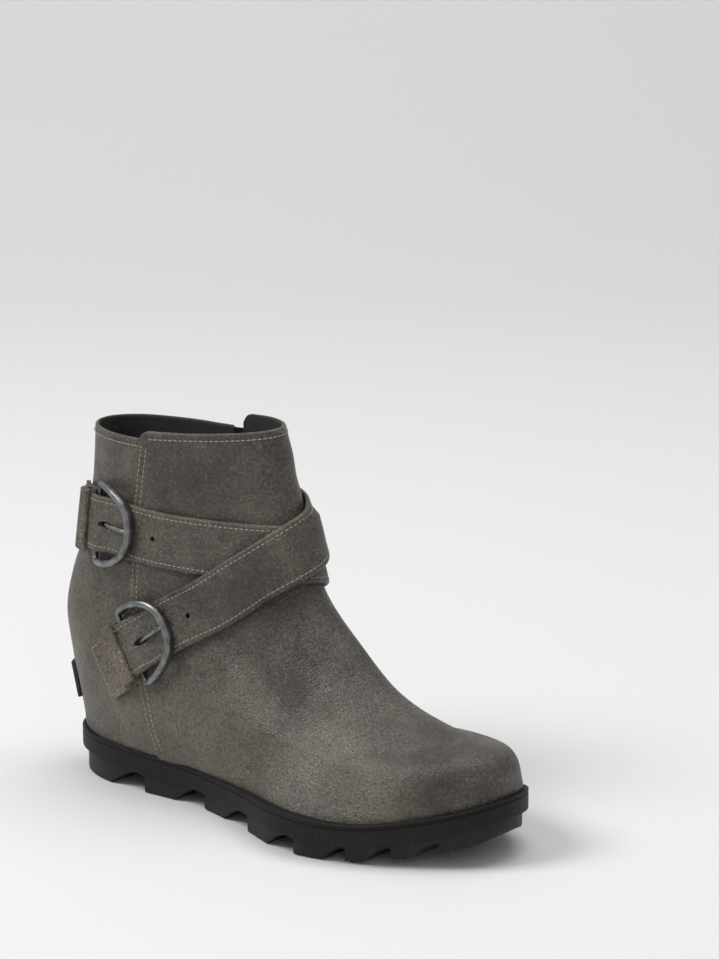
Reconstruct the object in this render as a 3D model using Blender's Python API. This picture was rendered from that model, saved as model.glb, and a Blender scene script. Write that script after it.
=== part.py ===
"""Wedge ankle boot for the right foot, with two crossing buckle straps and a zip on the inner side.

X runs from heel to toe, Y towards the inner side of the foot and Z up, all in metres.
The origin lies on the floor under the middle of the heel's flat spot.
"""

import bmesh
import bpy
import numpy as np

# Driving sizes of the sole
SOLE_LENGTH = 0.250
BALL_WIDTH = 0.096
SOLE_THICKNESS = 0.0234
TOE_SPRING = 0.0125
TOE_SWING = 0.006
BAND_OVERHANG = 0.0028
BAND_HEIGHT = 0.0105
LIP_HEIGHT = 0.0045
LUG_DEPTH = 0.0088
HEEL_REST = 0.018

# Driving sizes of the upper
BACK_HEIGHT = 0.1735
FRONT_HEIGHT = 0.1835
COLLAR_WIDTH = 0.057
WALL = 0.0024
FIT_GAP = 0.0003
SEAM_STEP = 0.0012
FACET_ROOM = 0.0004

# Footbed, straps and buckles
HEEL_SEAT_HEIGHT = 0.062
STRAP_WIDTH = 0.0275
STRAP_THICKNESS = 0.0024
KEEPER_THICKNESS = 0.0020
KEEPER_LENGTH = 0.0245
RING_HEIGHT = 0.0380
RING_DEPTH = 0.0265
RING_WIDTH = 0.0037
RING_THICKNESS = 0.0046
HIDDEN_BAR = 0.0026
PRONG_THICKNESS = 0.0022
HOLE_PLACE = 0.009
HOLE_LENGTH = 0.0078
HOLE_WIDTH = 0.0034
BAR_PLACE = 0.0230
TAIL_END = 0.0160
TAIL_LIFT = 0.0034

# Zip, pull and heel patch
ZIP_PLACE = 0.0655
ZIP_SLOT = 0.0066
ZIP_LENGTH = 0.116
COIL_THICKNESS = 0.0014
COIL_DEPTH = 0.0006
SLIDER_DROP = 0.0120
SLIDER_WIDTH = 0.0076
SLIDER_HEIGHT = 0.0095
SLIDER_THICKNESS = 0.0024
BRIDGE_SPAN = 0.0062
BRIDGE_WIDTH = 0.0022
BRIDGE_CLEAR = 0.0011
PIVOT_HEIGHT = 0.0046
PULL_WIDTH = 0.0056
PULL_LENGTH = 0.0150
PULL_THICKNESS = 0.0013
TAB_WIDTH = 0.0074
TAB_LENGTH = 0.0330
TAB_THICKNESS = 0.0026
PATCH_WIDTH = 0.0300
PATCH_HEIGHT = 0.0175
PATCH_THICKNESS = 0.0022

# Columns of the width tables are places from the back (0) to the front (1) of each ring.
PLACES = (0.0, 0.10, 0.20, 0.35, 0.50, 0.65, 0.80, 0.92, 1.0)
# One row for each ring, from the feather edge (0) to the collar (1), in shares of the ring's width.
OUTER_SHARES = {
    0.00: (0.505, 0.430, 0.355, 0.305, 0.405, 0.575, 0.605, 0.585, 0.635),
    0.12: (0.505, 0.465, 0.440, 0.395, 0.385, 0.430, 0.505, 0.560, 0.595),
    0.25: (0.515, 0.475, 0.440, 0.400, 0.385, 0.395, 0.430, 0.465, 0.495),
    0.40: (0.545, 0.500, 0.450, 0.410, 0.390, 0.375, 0.375, 0.400, 0.430),
    0.55: (0.555, 0.510, 0.470, 0.435, 0.410, 0.375, 0.360, 0.375, 0.415),
    0.70: (0.540, 0.510, 0.490, 0.460, 0.435, 0.410, 0.395, 0.400, 0.420),
    0.85: (0.525, 0.515, 0.510, 0.495, 0.475, 0.455, 0.435, 0.435, 0.455),
    1.00: (0.500, 0.510, 0.520, 0.535, 0.545, 0.510, 0.465, 0.455, 0.455),
}
INNER_SHARES = {
    0.00: (0.505, 0.455, 0.375, 0.330, 0.360, 0.470, 0.520, 0.605, 0.635),
    0.12: (0.505, 0.465, 0.440, 0.385, 0.370, 0.480, 0.600, 0.615, 0.595),
    0.25: (0.515, 0.475, 0.440, 0.395, 0.380, 0.405, 0.450, 0.480, 0.495),
    0.40: (0.545, 0.500, 0.455, 0.415, 0.390, 0.375, 0.375, 0.410, 0.430),
    0.55: (0.555, 0.510, 0.475, 0.440, 0.415, 0.375, 0.370, 0.400, 0.415),
    0.70: (0.540, 0.515, 0.495, 0.465, 0.445, 0.410, 0.395, 0.415, 0.420),
    0.85: (0.525, 0.510, 0.495, 0.475, 0.460, 0.455, 0.460, 0.460, 0.455),
    1.00: (0.500, 0.475, 0.450, 0.450, 0.455, 0.510, 0.545, 0.510, 0.455),
}
RINGS = tuple(OUTER_SHARES)
SIDE_TABLES = [np.array(list(table.values())).T for table in (OUTER_SHARES, INNER_SHARES)]
# Columns: back place and front place in shares of the sole's length, back height in shares of
# BACK_HEIGHT, front height in shares of FRONT_HEIGHT, lean to the inner side in shares of the ball width.
RING_ENDS = {
    0.00: (0.001, 0.999, None, None, 0.000),
    0.12: (-0.020, 0.984, 0.219, 0.262, 0.005),
    0.25: (-0.040, 0.876, 0.334, 0.286, 0.005),
    0.40: (-0.058, 0.752, 0.461, 0.342, 0.017),
    0.55: (-0.048, 0.644, 0.576, 0.450, 0.042),
    0.70: (-0.014, 0.552, 0.709, 0.580, 0.049),
    0.85: (-0.002, 0.504, 0.853, 0.749, 0.067),
    1.00: (0.004, 0.448, 1.029, 1.005, 0.065),
}
# Sole thickness in shares of SOLE_THICKNESS at places along the sole.
THICKNESS_SHARES = ((0.0, 1.0), (0.2, 0.93), (0.4, 0.85), (0.6, 0.89), (0.8, 0.78), (1.0, 0.785))
# Cuts across the sole: where the lug behind ends, where the next lug's rear wall stands (shares of
# the sole's length) and the depth in shares of LUG_DEPTH.
LUG_CUTS = (
    (0.126, 0.219, 1.00),
    (0.294, 0.378, 1.00),
    (0.441, 0.526, 1.00),
    (0.596, 0.673, 0.92),
    (0.734, 0.778, 0.72),
    (0.811, 0.856, 0.65),
    (0.889, 0.930, 0.55),
)
# Footbed height above the platform, in shares of its height at the heel seat.
FOOTBED_SHARES = ((0.0, 1.0), (0.15, 0.97), (0.3, 0.84), (0.45, 0.6), (0.6, 0.32), (0.72, 0.15),
                  (0.85, 0.1), (1.0, 0.1))
# Side seam of the outer face: ring and place in shares of the sole's length.
SEAM_LINE = ((0.0, 0.262), (0.14, 0.246), (0.25, 0.224), (0.42, 0.201), (0.57, 0.185), (0.73, 0.187),
             (0.86, 0.188), (1.0, 0.214))
# Height of the collar's edge above BACK_HEIGHT in shares of the rise to FRONT_HEIGHT, at angles in
# degrees round the ring, for the back panel and the front panel.
BACK_RIM = ((-93.0, 0.0), (-60.0, 0.03), (0.0, 0.03), (60.0, 0.08), (88.0, 0.18))
FRONT_RIM = ((82.0, 0.58), (120.0, 0.75), (150.0, 0.92), (180.0, 1.0), (210.0, 0.92), (240.0, 0.76),
             (270.0, 0.60))
# Straps' middle lines: angle round the ring in degrees and height in shares of BACK_HEIGHT. Each
# runs from its buckle on the outer face to the zip on the inner one.
UPPER_STRAP_LINE = ((24, 0.745), (60, 0.748), (92, 0.738), (130, 0.732), (165, 0.725), (195, 0.705),
                    (225, 0.660), (250, 0.607), (269, 0.573))
LOWER_STRAP_LINE = ((53, 0.338), (67, 0.405), (88, 0.505), (110, 0.584), (135, 0.665), (165, 0.733),
                    (200, 0.772), (235, 0.786), (265, 0.790))

COLUMNS_BACK_OUTER = 11
COLUMNS_FRONT_OUTER = 13
COLUMNS_FRONT_INNER = 13
COLUMNS_BACK_INNER = 12
RING_ROWS = (0, 0.04, 0.08, 0.12, 0.17, 0.22, 0.27, 0.32, 0.37, 0.42, 0.46, 0.50, 0.54, 0.59, 0.64, 0.70,
             0.77, 0.84, 0.90, 0.955, 0.985, 1.0)


def curve(knots, values, at):
    """Smooth curve through values at knots; values may hold one column for each point in at."""
    knots = np.asarray(knots, float)
    at = np.clip(np.asarray(at, float), knots[0], knots[-1])
    values = np.asarray(values, float)
    if values.ndim == 1:
        values = values.reshape((-1,) + (1,) * at.ndim) + np.zeros(at.shape)
    step = np.diff(knots).reshape((-1,) + (1,) * at.ndim)
    rise = np.diff(values, axis=0) / step
    slope = np.empty_like(values)
    slope[1:-1] = (rise[:-1] * step[1:] + rise[1:] * step[:-1]) / (step[1:] + step[:-1])
    slope[0] = 1.5 * rise[0] - 0.5 * slope[1]
    slope[-1] = 1.5 * rise[-1] - 0.5 * slope[-2]
    cell = np.clip(np.searchsorted(knots, at, side="right") - 1, 0, len(knots) - 2)

    def pick(array, shift=0):
        return np.take_along_axis(array, (cell + shift)[None], 0)[0]

    width = knots[cell + 1] - knots[cell]
    t = (at - knots[cell]) / width
    start = (2 * t**3 - 3 * t**2 + 1) * pick(values) + (t**3 - 2 * t**2 + t) * width * pick(slope)
    end = (3 * t**2 - 2 * t**3) * pick(values, 1) + (t**3 - t**2) * width * pick(slope, 1)
    return start + end


def table_curve(rows, at):
    """Smooth curve through a table of (place, value) rows."""
    places, values = zip(*rows)
    return curve(places, values, at)


def smooth_step(at, start, end):
    t = np.clip((at - start) / (end - start), 0, 1)
    return t * t * (3 - 2 * t)


def unit(vectors):
    return vectors / np.maximum(np.linalg.norm(vectors, axis=-1, keepdims=True), 1e-12)


# Sole line


def spring(share):
    return TOE_SPRING * np.clip((share - 0.70) / 0.30, 0, 1.1) ** 2


def band_top(share):
    return SOLE_THICKNESS * table_curve(THICKNESS_SHARES, share) + spring(share)


def platform_height(share):
    return band_top(share) - LIP_HEIGHT


def half_width(angle, rise):
    """Half width of a ring at an angle, signed: minus on the outer side."""
    angle, rise = np.broadcast_arrays(angle, rise)
    flat = np.ravel(angle)
    share = np.broadcast_to((1 - np.cos(flat)) / 2, (len(RINGS), flat.size))
    side = np.sin(flat) >= 0
    rows = np.where(side, SIDE_TABLES[0][..., None], SIDE_TABLES[1][..., None])
    shares = curve(RINGS, curve(PLACES, rows, share), np.ravel(rise)).reshape(angle.shape)
    width = BALL_WIDTH + (COLLAR_WIDTH - BALL_WIDTH) * rise
    return -np.sin(angle) * width * shares


def outline(angle, margin=0.0):
    """Sole outline seen from above, pushed out by a margin; returns x and y."""

    def place(a):
        share = (1 - np.cos(a)) / 2
        return np.stack([share * SOLE_LENGTH, half_width(a, np.zeros_like(a)) + TOE_SWING * share**2.5], -1)

    along = place(angle + 0.004) - place(angle - 0.004)
    outward = unit(np.stack([along[..., 1], -along[..., 0]], -1))
    return place(angle) + outward * margin


# Upper's outer face


def upper_point(angle, rise):
    """Point of the upper's outer face: angle runs round the ring from the back over the outer side,
    rise goes from the feather edge to the collar."""
    angle, rise = np.broadcast_arrays(np.asarray(angle, float), np.asarray(rise, float))
    share = (1 - np.cos(angle)) / 2
    ends = list(RING_ENDS.values())
    heel, toe = platform_height(0.0), platform_height(1.0)
    back_x = SOLE_LENGTH * curve(RINGS, [row[0] for row in ends], rise)
    front_x = SOLE_LENGTH * curve(RINGS, [row[1] for row in ends], rise)
    back_z = curve(RINGS, [heel] + [BACK_HEIGHT * row[2] for row in ends[1:]], rise)
    front_z = curve(RINGS, [toe] + [FRONT_HEIGHT * row[3] for row in ends[1:]], rise)
    lean = BALL_WIDTH * curve(RINGS, [row[4] for row in ends], rise)
    fade = (1 - rise) ** 2
    wave = platform_height(share) - heel - (toe - heel) * share
    x = back_x + (front_x - back_x) * share
    y = half_width(angle, rise) + lean + TOE_SWING * share**2.5 * fade
    z = back_z + (front_z - back_z) * share + wave * fade
    return np.stack([x, y, z], -1)


def upper_frame(angle, rise):
    """Tangents round and up the outer face and its outward normal."""
    low, high = np.clip(rise - 0.004, 0, 1), np.clip(rise + 0.004, 0, 1)
    round_way = unit(upper_point(angle + 0.01, rise) - upper_point(angle - 0.01, rise))
    up_way = unit(upper_point(angle, high) - upper_point(angle, low))
    return round_way, up_way, unit(np.cross(round_way, up_way))


def upper_offset(angle, rise, out):
    return upper_point(angle, rise) + upper_frame(angle, rise)[2] * np.asarray(out)[..., None]


def angle_at(place, rise, inner=False):
    """Angle where a ring passes a place along X."""
    ends = list(RING_ENDS.values())
    back_x = SOLE_LENGTH * curve(RINGS, [row[0] for row in ends], rise)
    front_x = SOLE_LENGTH * curve(RINGS, [row[1] for row in ends], rise)
    angle = np.arccos(np.clip(1 - 2 * (place - back_x) / (front_x - back_x), -1, 1))
    return 2 * np.pi - angle if inner else angle


def rise_at(angle, height):
    """Ring that reaches a height at an angle, found by halving."""
    angle, height = np.broadcast_arrays(np.asarray(angle, float), np.asarray(height, float))
    low, high = np.zeros(angle.shape), np.ones(angle.shape)
    for _ in range(18):
        middle = (low + high) / 2
        under = upper_point(angle, middle)[..., 2] < height
        low, high = np.where(under, middle, low), np.where(under, high, middle)
    return (low + high) / 2


def foot_on_upper(points, angle, rise):
    """Nearest place on the outer face to each point, from a first guess."""
    for _ in range(6):
        base = upper_point(angle, rise)
        d_angle = (upper_point(angle + 0.002, rise) - base) / 0.002
        step = np.where(rise > 0.99, -0.002, 0.002)
        d_rise = (upper_point(angle, rise + step) - base) / step[..., None]
        gap = points - base
        aa, rr, ar = (d_angle**2).sum(-1), (d_rise**2).sum(-1), (d_angle * d_rise).sum(-1)
        ga, gr = (gap * d_angle).sum(-1), (gap * d_rise).sum(-1)
        scale = np.maximum(aa * rr - ar**2, 1e-14)
        angle = angle + np.clip((ga * rr - gr * ar) / scale, -0.2, 0.2)
        rise = np.clip(rise + np.clip((gr * aa - ga * ar) / scale, -0.1, 0.1), 0, 1)
    return angle, rise


def seam_angle(rise):
    return angle_at(SOLE_LENGTH * table_curve(SEAM_LINE, rise), rise)


def slot_angle(rise, side):
    """Angle of the zip slot's front (+1) or back (-1) edge."""
    return angle_at(ZIP_PLACE + side * ZIP_SLOT / 2, rise, inner=True)


def rim_height(degrees, front):
    share = table_curve(FRONT_RIM if front else BACK_RIM, degrees)
    return BACK_HEIGHT + (FRONT_HEIGHT - BACK_HEIGHT) * share


# Mesh helpers


def material(name, colour, roughness, metallic=0.0):
    made = bpy.data.materials.get(name) or bpy.data.materials.new(name)
    made.use_nodes = True
    shader = made.node_tree.nodes["Principled BSDF"]
    shader.inputs["Base Color"].default_value = (*colour, 1)
    shader.inputs["Roughness"].default_value = roughness
    shader.inputs["Metallic"].default_value = metallic
    return made


def add_piece(name, points, faces, surface, pivot=(0, 0, 0)):
    """Adds one solid; pivot is where its object stands, in the boot's own frame."""
    shift = np.array([HEEL_REST, 0, 0])
    mesh = bpy.data.meshes.new(name)
    mesh.from_pydata((np.asarray(points) - np.asarray(pivot)).tolist(), [], faces)
    mesh.validate()
    bm = bmesh.new()
    bm.from_mesh(mesh)
    loose = [v for v in bm.verts if not v.link_faces]
    bmesh.ops.delete(bm, geom=loose, context="VERTS")
    bmesh.ops.recalc_face_normals(bm, faces=bm.faces)
    if bm.calc_volume(signed=True) < 0:
        bmesh.ops.reverse_faces(bm, faces=bm.faces)
    bm.to_mesh(mesh)
    bm.free()
    mesh.shade_smooth()
    mesh.set_sharp_from_angle(angle=np.radians(35))
    mesh.materials.append(surface)
    piece = bpy.data.objects.new(name, mesh)
    piece.location = np.asarray(pivot) - shift
    bpy.context.scene.collection.objects.link(piece)
    return piece


def slab(outer, inner, wrap=False, keep=None):
    """Closed solid between two grids of points: cells left out by keep become openings."""
    rows, columns = outer.shape[:2]
    cells_across = columns if wrap else columns - 1
    keep = np.ones((rows - 1, cells_across), bool) if keep is None else keep
    count = rows * columns
    points = np.concatenate([outer.reshape(-1, 3), inner.reshape(-1, 3)])

    def number(row, column, layer):
        return layer * count + row * columns + column % columns

    faces = []
    for i in range(rows - 1):
        for j in range(cells_across):
            if not keep[i, j]:
                continue
            corners = ((i, j), (i, j + 1), (i + 1, j + 1), (i + 1, j))
            faces.append([number(r, c, 0) for r, c in corners])
            faces.append([number(r, c, 1) for r, c in reversed(corners)])
            sides = ((i - 1, j), (i, j + 1), (i + 1, j), (i, j - 1))
            for n, (r, c) in enumerate(sides):
                inside = 0 <= r < rows - 1 and (wrap or 0 <= c < cells_across)
                if inside and keep[r, c % cells_across]:
                    continue
                (r0, c0), (r1, c1) = corners[n], corners[(n + 1) % 4]
                faces.append([number(r0, c0, 0), number(r0, c0, 1), number(r1, c1, 1), number(r1, c1, 0)])
    return points, faces


def loft(rings, closed=False):
    """Solid through rings of equal count, capped at both ends or closed on itself."""
    rings = [np.asarray(ring) for ring in rings]
    size = len(rings[0])
    faces = []
    for i in range(len(rings) if closed else len(rings) - 1):
        n = (i + 1) % len(rings)
        for j in range(size):
            k = (j + 1) % size
            faces.append([i * size + j, i * size + k, n * size + k, n * size + j])
    if not closed:
        faces.append(list(range(size))[::-1])
        faces.append([(len(rings) - 1) * size + j for j in range(size)])
    return np.concatenate(rings), faces


def stacked(loops):
    """Solid through closed plan loops, its two ends filled by ladders from side to side."""
    size = len(loops[0])
    points, faces = loft(loops)
    faces = faces[:-2]
    half = size // 2
    for start, flip in ((0, False), ((len(loops) - 1) * size, True)):
        for j in range(half):
            rung = [start + j, start + (size - j) % size, start + (size - j - 1) % size, start + j + 1]
            rung = list(dict.fromkeys(rung))
            if len(rung) > 2:
                faces.append(rung[::-1] if flip else rung)
    return points, faces


def difference(piece, cutter):
    """Cuts one closed solid out of another."""
    cut = piece.modifiers.new("cut", "BOOLEAN")
    cut.operation = "DIFFERENCE"
    cut.solver = "EXACT"
    cut.object = cutter
    cutter.hide_render = True
    cutter.display_type = "WIRE"


# Upper


def upper_columns(rise):
    """Angles of the upper's columns, with the side seam and the zip slot on columns of their own.

    The rise may differ from column to column; each column's angle is then taken at its own rise."""
    rise = np.asarray(rise, float)
    seam = seam_angle(rise)
    front_edge, back_edge = slot_angle(rise, 1), slot_angle(rise, -1)
    step = SEAM_STEP / np.linalg.norm(upper_point(seam + 0.5, rise) - upper_point(seam - 0.5, rise), axis=-1)
    halfway = np.full(rise.shape, np.pi)
    columns = np.concatenate([
        np.linspace(0, seam - step, COLUMNS_BACK_OUTER, endpoint=False),
        np.linspace(seam - step, seam + step, 2),
        np.linspace(seam + step, halfway, COLUMNS_FRONT_OUTER)[1:-1],
        np.linspace(halfway, front_edge, COLUMNS_FRONT_INNER, endpoint=False),
        [front_edge],
        np.linspace(back_edge, 2 * np.pi, COLUMNS_BACK_INNER, endpoint=False),
    ])
    return columns if rise.ndim == 0 else np.diagonal(columns)


def rim_rises(top, seam_column, slot_column):
    """Rise of the collar's edge at each column."""
    degrees = np.degrees(top)
    front = (np.arange(len(top)) > seam_column) & (np.arange(len(top)) <= slot_column)
    wrapped = np.where(degrees > 200, degrees - 360, degrees)
    rim = np.where(front, rim_height(degrees, True), rim_height(wrapped, False))
    corner = 0.25 * (FRONT_HEIGHT - BACK_HEIGHT)
    rim[seam_column + 1] -= corner
    rim[slot_column] -= corner
    return rise_at(top, rim)


def upper_grids():
    """Outer and inner grids of the upper, which cells it keeps and the zip slot's lower end."""
    top = upper_columns(1.0)
    seam_column = COLUMNS_BACK_OUTER
    slot_column = len(top) - COLUMNS_BACK_INNER - 1
    for _ in range(3):
        top_rise = rim_rises(top, seam_column, slot_column)
        top = upper_columns(top_rise)
    rises = np.array(RING_ROWS)[:, None] * top_rise[None, :]
    angles = np.array([upper_columns(row) for row in rises])
    outer = upper_point(angles, rises)
    inner = upper_offset(angles, rises, np.full(rises.shape, -WALL))
    inner[0, :, 2] = outer[0, :, 2]
    inner[-1, :, 2] = outer[-1, :, 2]
    slot_end = FRONT_HEIGHT - ZIP_LENGTH
    keep = np.ones((len(RING_ROWS) - 1, len(top)), bool)
    slot_end = FRONT_HEIGHT - ZIP_LENGTH
    first = int(np.argmax(outer[:-1, slot_column, 2] > slot_end))
    keep[first:, slot_column] = False
    return outer, inner, keep, outer[first, slot_column:slot_column + 2, 2].max()


def make_upper(leather):
    outer, inner, keep, _ = upper_grids()
    return add_piece("upper", *slab(outer, inner, wrap=True, keep=keep), leather)


# Sole

LOOP_COUNT = 72
LOOP_ANGLES = np.arange(LOOP_COUNT) * 2 * np.pi / LOOP_COUNT
LOOP_SHARES = (1 - np.cos(LOOP_ANGLES)) / 2


def plan_loop(margin, surface, lift=0.0):
    """Sole outline pushed out by a margin and laid on a surface's height."""
    plan = outline(LOOP_ANGLES, margin)
    return np.column_stack([plan, surface(plan[:, 0] / SOLE_LENGTH) + lift])


def fitted_loop(height):
    """Loop round the upper at a height, a fit gap outside it."""
    rises = rise_at(LOOP_ANGLES, height)
    points = upper_point(LOOP_ANGLES, rises)
    normal = upper_frame(LOOP_ANGLES, rises)[2]
    points[:, :2] += unit(normal[:, :2]) * FIT_GAP * 1.4
    points[:, 2] = height
    return points


def band_bottom(share):
    return band_top(share) - BAND_HEIGHT


def make_midsole(rubber):
    edge = BAND_OVERHANG * 0.22
    platform = platform_height(LOOP_SHARES)
    loops = [
        plan_loop(BAND_OVERHANG - edge, band_bottom),
        plan_loop(BAND_OVERHANG, band_bottom, edge),
        plan_loop(BAND_OVERHANG, band_top, -edge * 2),
        plan_loop(BAND_OVERHANG - edge, band_top),
        fitted_loop(band_top(LOOP_SHARES)),
        fitted_loop(platform),
    ]
    loops[-1][:, 2] = platform - FIT_GAP
    return add_piece("midsole", *stacked(loops), rubber)


def lug_height(share):
    """Height of the tread's underside above the floor line along the sole."""
    height = np.zeros_like(share)
    for start, wall, depth in LUG_CUTS:
        t = (share - start) / (wall - start)
        arch = np.sin(np.pi / 2 * np.clip(t / 0.78, 0, 1)) - 0.12 * smooth_step(t, 0.78, 1.0)
        height = np.where((t > 0) & (t < 1), LUG_DEPTH * depth * arch, height)
    heel_round = 0.0045 * np.clip(1 - share / 0.022, 0, 1) ** 2
    toe_round = 0.0035 * np.clip((share - 0.975) / 0.025, 0, 1) ** 2
    return height + heel_round + toe_round


def outsole_stations():
    """Places along the sole where the tread has a section."""
    places = [0.0, 0.002, 0.007, 0.015, 0.024, 0.045, 0.08]
    wall = 0.0012
    for start, end, _ in LUG_CUTS:
        span = end - start
        places += [start] + [start + span * t for t in (0.18, 0.38, 0.6, 0.8)] + [end - wall, end]
    places += [0.95, 0.965, 0.978, 0.988, 0.995, 0.999, 1.0]
    return np.array(places)


def make_outsole(rubber):
    share = outsole_stations()
    floor = spring(share) + lug_height(share)
    top = band_bottom(share) - FIT_GAP
    angle = np.arccos(1 - 2 * share)
    tip = 0.0022
    outer = outline(angle)[:, 1]
    inner = outline(2 * np.pi - angle)[:, 1]
    middle = TOE_SWING * share**2.5
    outer = np.minimum(outer, middle - tip)
    inner = np.maximum(inner, middle + tip)
    chamfer = 0.0012
    rings = []
    for i, s in enumerate(share):
        x = s * SOLE_LENGTH
        low = floor[i]
        rings.append([
            (x, outer[i], top[i]),
            (x, outer[i], low + chamfer),
            (x, outer[i] + chamfer, low),
            (x, inner[i] - chamfer, low),
            (x, inner[i], low + chamfer),
            (x, inner[i], top[i]),
        ])
    return add_piece("outsole", *loft(rings), rubber)


# Insole


def footbed_height(share):
    seat = HEEL_SEAT_HEIGHT - platform_height(0.0)
    return platform_height(share) + seat * table_curve(FOOTBED_SHARES, share)


def make_insole(cork):
    """Footbed on its wedge: one solid that fills the upper's lower part up to the footbed."""
    angles = upper_columns(0.12)
    inset = WALL + FIT_GAP * 2
    level = np.full(angles.shape, 0.5)
    for _ in range(30):
        place = upper_offset(angles, level, np.full(angles.shape, -inset))
        target = footbed_height(np.clip(place[:, 0] / SOLE_LENGTH, 0, 1))
        level = np.clip(level + (target - place[:, 2]) * 4, 0.02, 0.9)
    loops = []
    for share in (0.0, 0.2, 0.45, 0.72, 0.96, 1.0):
        rises = level * share
        extra = 0.0 if share < 1 else 0.0016
        loop = upper_offset(angles, rises, np.full(angles.shape, -inset - extra))
        loops.append(loop)
    loops[0][:, 2] = platform_height((1 - np.cos(angles)) / 2) + FIT_GAP
    loops[-1][:, 2] = footbed_height(np.clip(loops[-1][:, 0] / SOLE_LENGTH, 0, 1))
    loops[-2][:, 2] = np.minimum(loops[-2][:, 2], loops[-1][:, 2] - 0.0008)
    return add_piece("insole", *stacked(loops), cork)


# Straps


class StrapPath:
    """Frame along a strap: distance from its buckle end, distance across and height off the upper."""

    def __init__(self, line, start_gap=0.0):
        degrees, heights = zip(*line)
        knots = np.radians(degrees)
        fine = np.linspace(knots[0], knots[-1], 241)
        height = BACK_HEIGHT * curve(knots, heights, fine)
        self.angles = fine
        self.rises = rise_at(fine, height)
        points = upper_point(self.angles, self.rises)
        steps = np.linalg.norm(np.diff(points, axis=0), axis=1)
        self.lengths = np.concatenate([[0], np.cumsum(steps)])
        self.length = self.lengths[-1]

    def foot(self, along, across):
        """Angle and ring under a place on the strap."""
        along, across = np.broadcast_arrays(np.asarray(along, float), np.asarray(across, float))
        angle = np.interp(along, self.lengths, self.angles)
        rise = np.interp(along, self.lengths, self.rises)
        ahead = np.clip(along + 0.002, 0, self.length)
        behind = np.clip(along - 0.002, 0, self.length)
        way = unit(self.middle(ahead) - self.middle(behind))
        normal = upper_frame(angle, rise)[2]
        side = unit(np.cross(normal, way))
        over = np.minimum(along, 0) + np.maximum(along - self.length, 0)
        target = upper_point(angle, rise) + side * across[..., None] + way * over[..., None]
        return foot_on_upper(target, angle, rise)

    def middle(self, along):
        angle = np.interp(along, self.lengths, self.angles)
        return upper_point(angle, np.interp(along, self.lengths, self.rises))

    def bridge(self, along, across):
        """How far the strap stands off a hollow of the upper that its width spans."""
        angle, rise = self.foot(along, across)
        edge = STRAP_WIDTH / 2
        low = upper_point(*self.foot(along, -edge))
        high = upper_point(*self.foot(along, edge))
        blend = np.clip((across / edge + 1) / 2, 0, 1)[..., None]
        chord = low + (high - low) * blend - upper_point(angle, rise)
        gap = (chord * upper_frame(angle, rise)[2]).sum(-1)
        return np.maximum(gap, 0) * 1.1 + FACET_ROOM

    def point(self, along, across, out):
        along, across, out = np.broadcast_arrays(*[np.asarray(v, float) for v in (along, across, out)])
        angle, rise = self.foot(along, across)
        height = out + self.bridge(along, across)
        return upper_point(angle, rise) + upper_frame(angle, rise)[2] * height[..., None]

    def cover(self, angle, rise):
        """For places on the upper: distance inside this strap's width and its bridge there."""
        centre = upper_point(self.angles, self.rises)
        points = upper_point(angle, rise)
        gaps = np.linalg.norm(points[..., None, :] - centre, axis=-1)
        nearest = gaps.argmin(-1)
        inside = STRAP_WIDTH / 2 - gaps.min(-1)
        side = np.sign(points[..., 2] - centre[nearest][..., 2])
        across = np.clip(side * gaps.min(-1), -STRAP_WIDTH / 2, STRAP_WIDTH / 2)
        return inside, self.bridge(self.lengths[nearest], across)


def tail_height(along):
    """Height of a strap's underside off the upper, raised over the buckle's hidden bar."""
    return FIT_GAP + TAIL_LIFT * (1 - smooth_step(along, BAR_PLACE + 0.002, BAR_PLACE + 0.0135))


def make_strap(name, path, under, leather):
    """Leather band along a path, lifted where it crosses the strap under it."""
    stations = np.concatenate([
        np.linspace(TAIL_END, BAR_PLACE + RING_DEPTH + 0.006, 12, endpoint=False),
        np.linspace(BAR_PLACE + RING_DEPTH + 0.006, path.length, 30),
    ])
    across = np.array([-0.5, -0.25, 0.0, 0.25, 0.5]) * STRAP_WIDTH
    along, side = np.meshgrid(stations, across, indexing="ij")
    height = tail_height(along)
    if under is not None:
        inside, bridge = under.cover(*path.foot(along, side))
        lift = STRAP_THICKNESS + 2 * FIT_GAP + np.maximum(bridge - path.bridge(along, side), 0) * 1.15
        height = height + smooth_step(inside, -0.0125, -0.0045) * lift
    top = path.point(along, side, height + STRAP_THICKNESS)
    bottom = path.point(along, side, height)
    piece = add_piece(name, *slab(top, bottom), leather)
    turn = np.arange(12) * np.pi / 6
    hole = np.array([-0.002, 0.009])[:, None]
    oval = path.point(BAR_PLACE + HOLE_PLACE + HOLE_LENGTH / 2 * np.cos(turn), HOLE_WIDTH / 2 * np.sin(turn), hole)
    difference(piece, add_piece(name + "_hole", *loft(oval), leather))
    return piece


def ring_path(count=32):
    """Middle line of a buckle's D ring: distance along the strap from its bar and across it."""
    half = RING_HEIGHT / 2
    bar = [(0.0, y) for y in np.linspace(-half * 0.86, half * 0.86, 6)]
    turn = np.linspace(np.pi / 2, -np.pi / 2, count - 8)
    bow = [(RING_DEPTH * (0.12 + 0.88 * np.cos(t) ** 0.86), half * np.sign(np.sin(t)) * abs(np.sin(t)) ** 0.8)
           for t in turn]
    return np.array(bar + [(RING_DEPTH * 0.03, half * 0.97)] + bow + [(RING_DEPTH * 0.03, -half * 0.97)])


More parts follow.
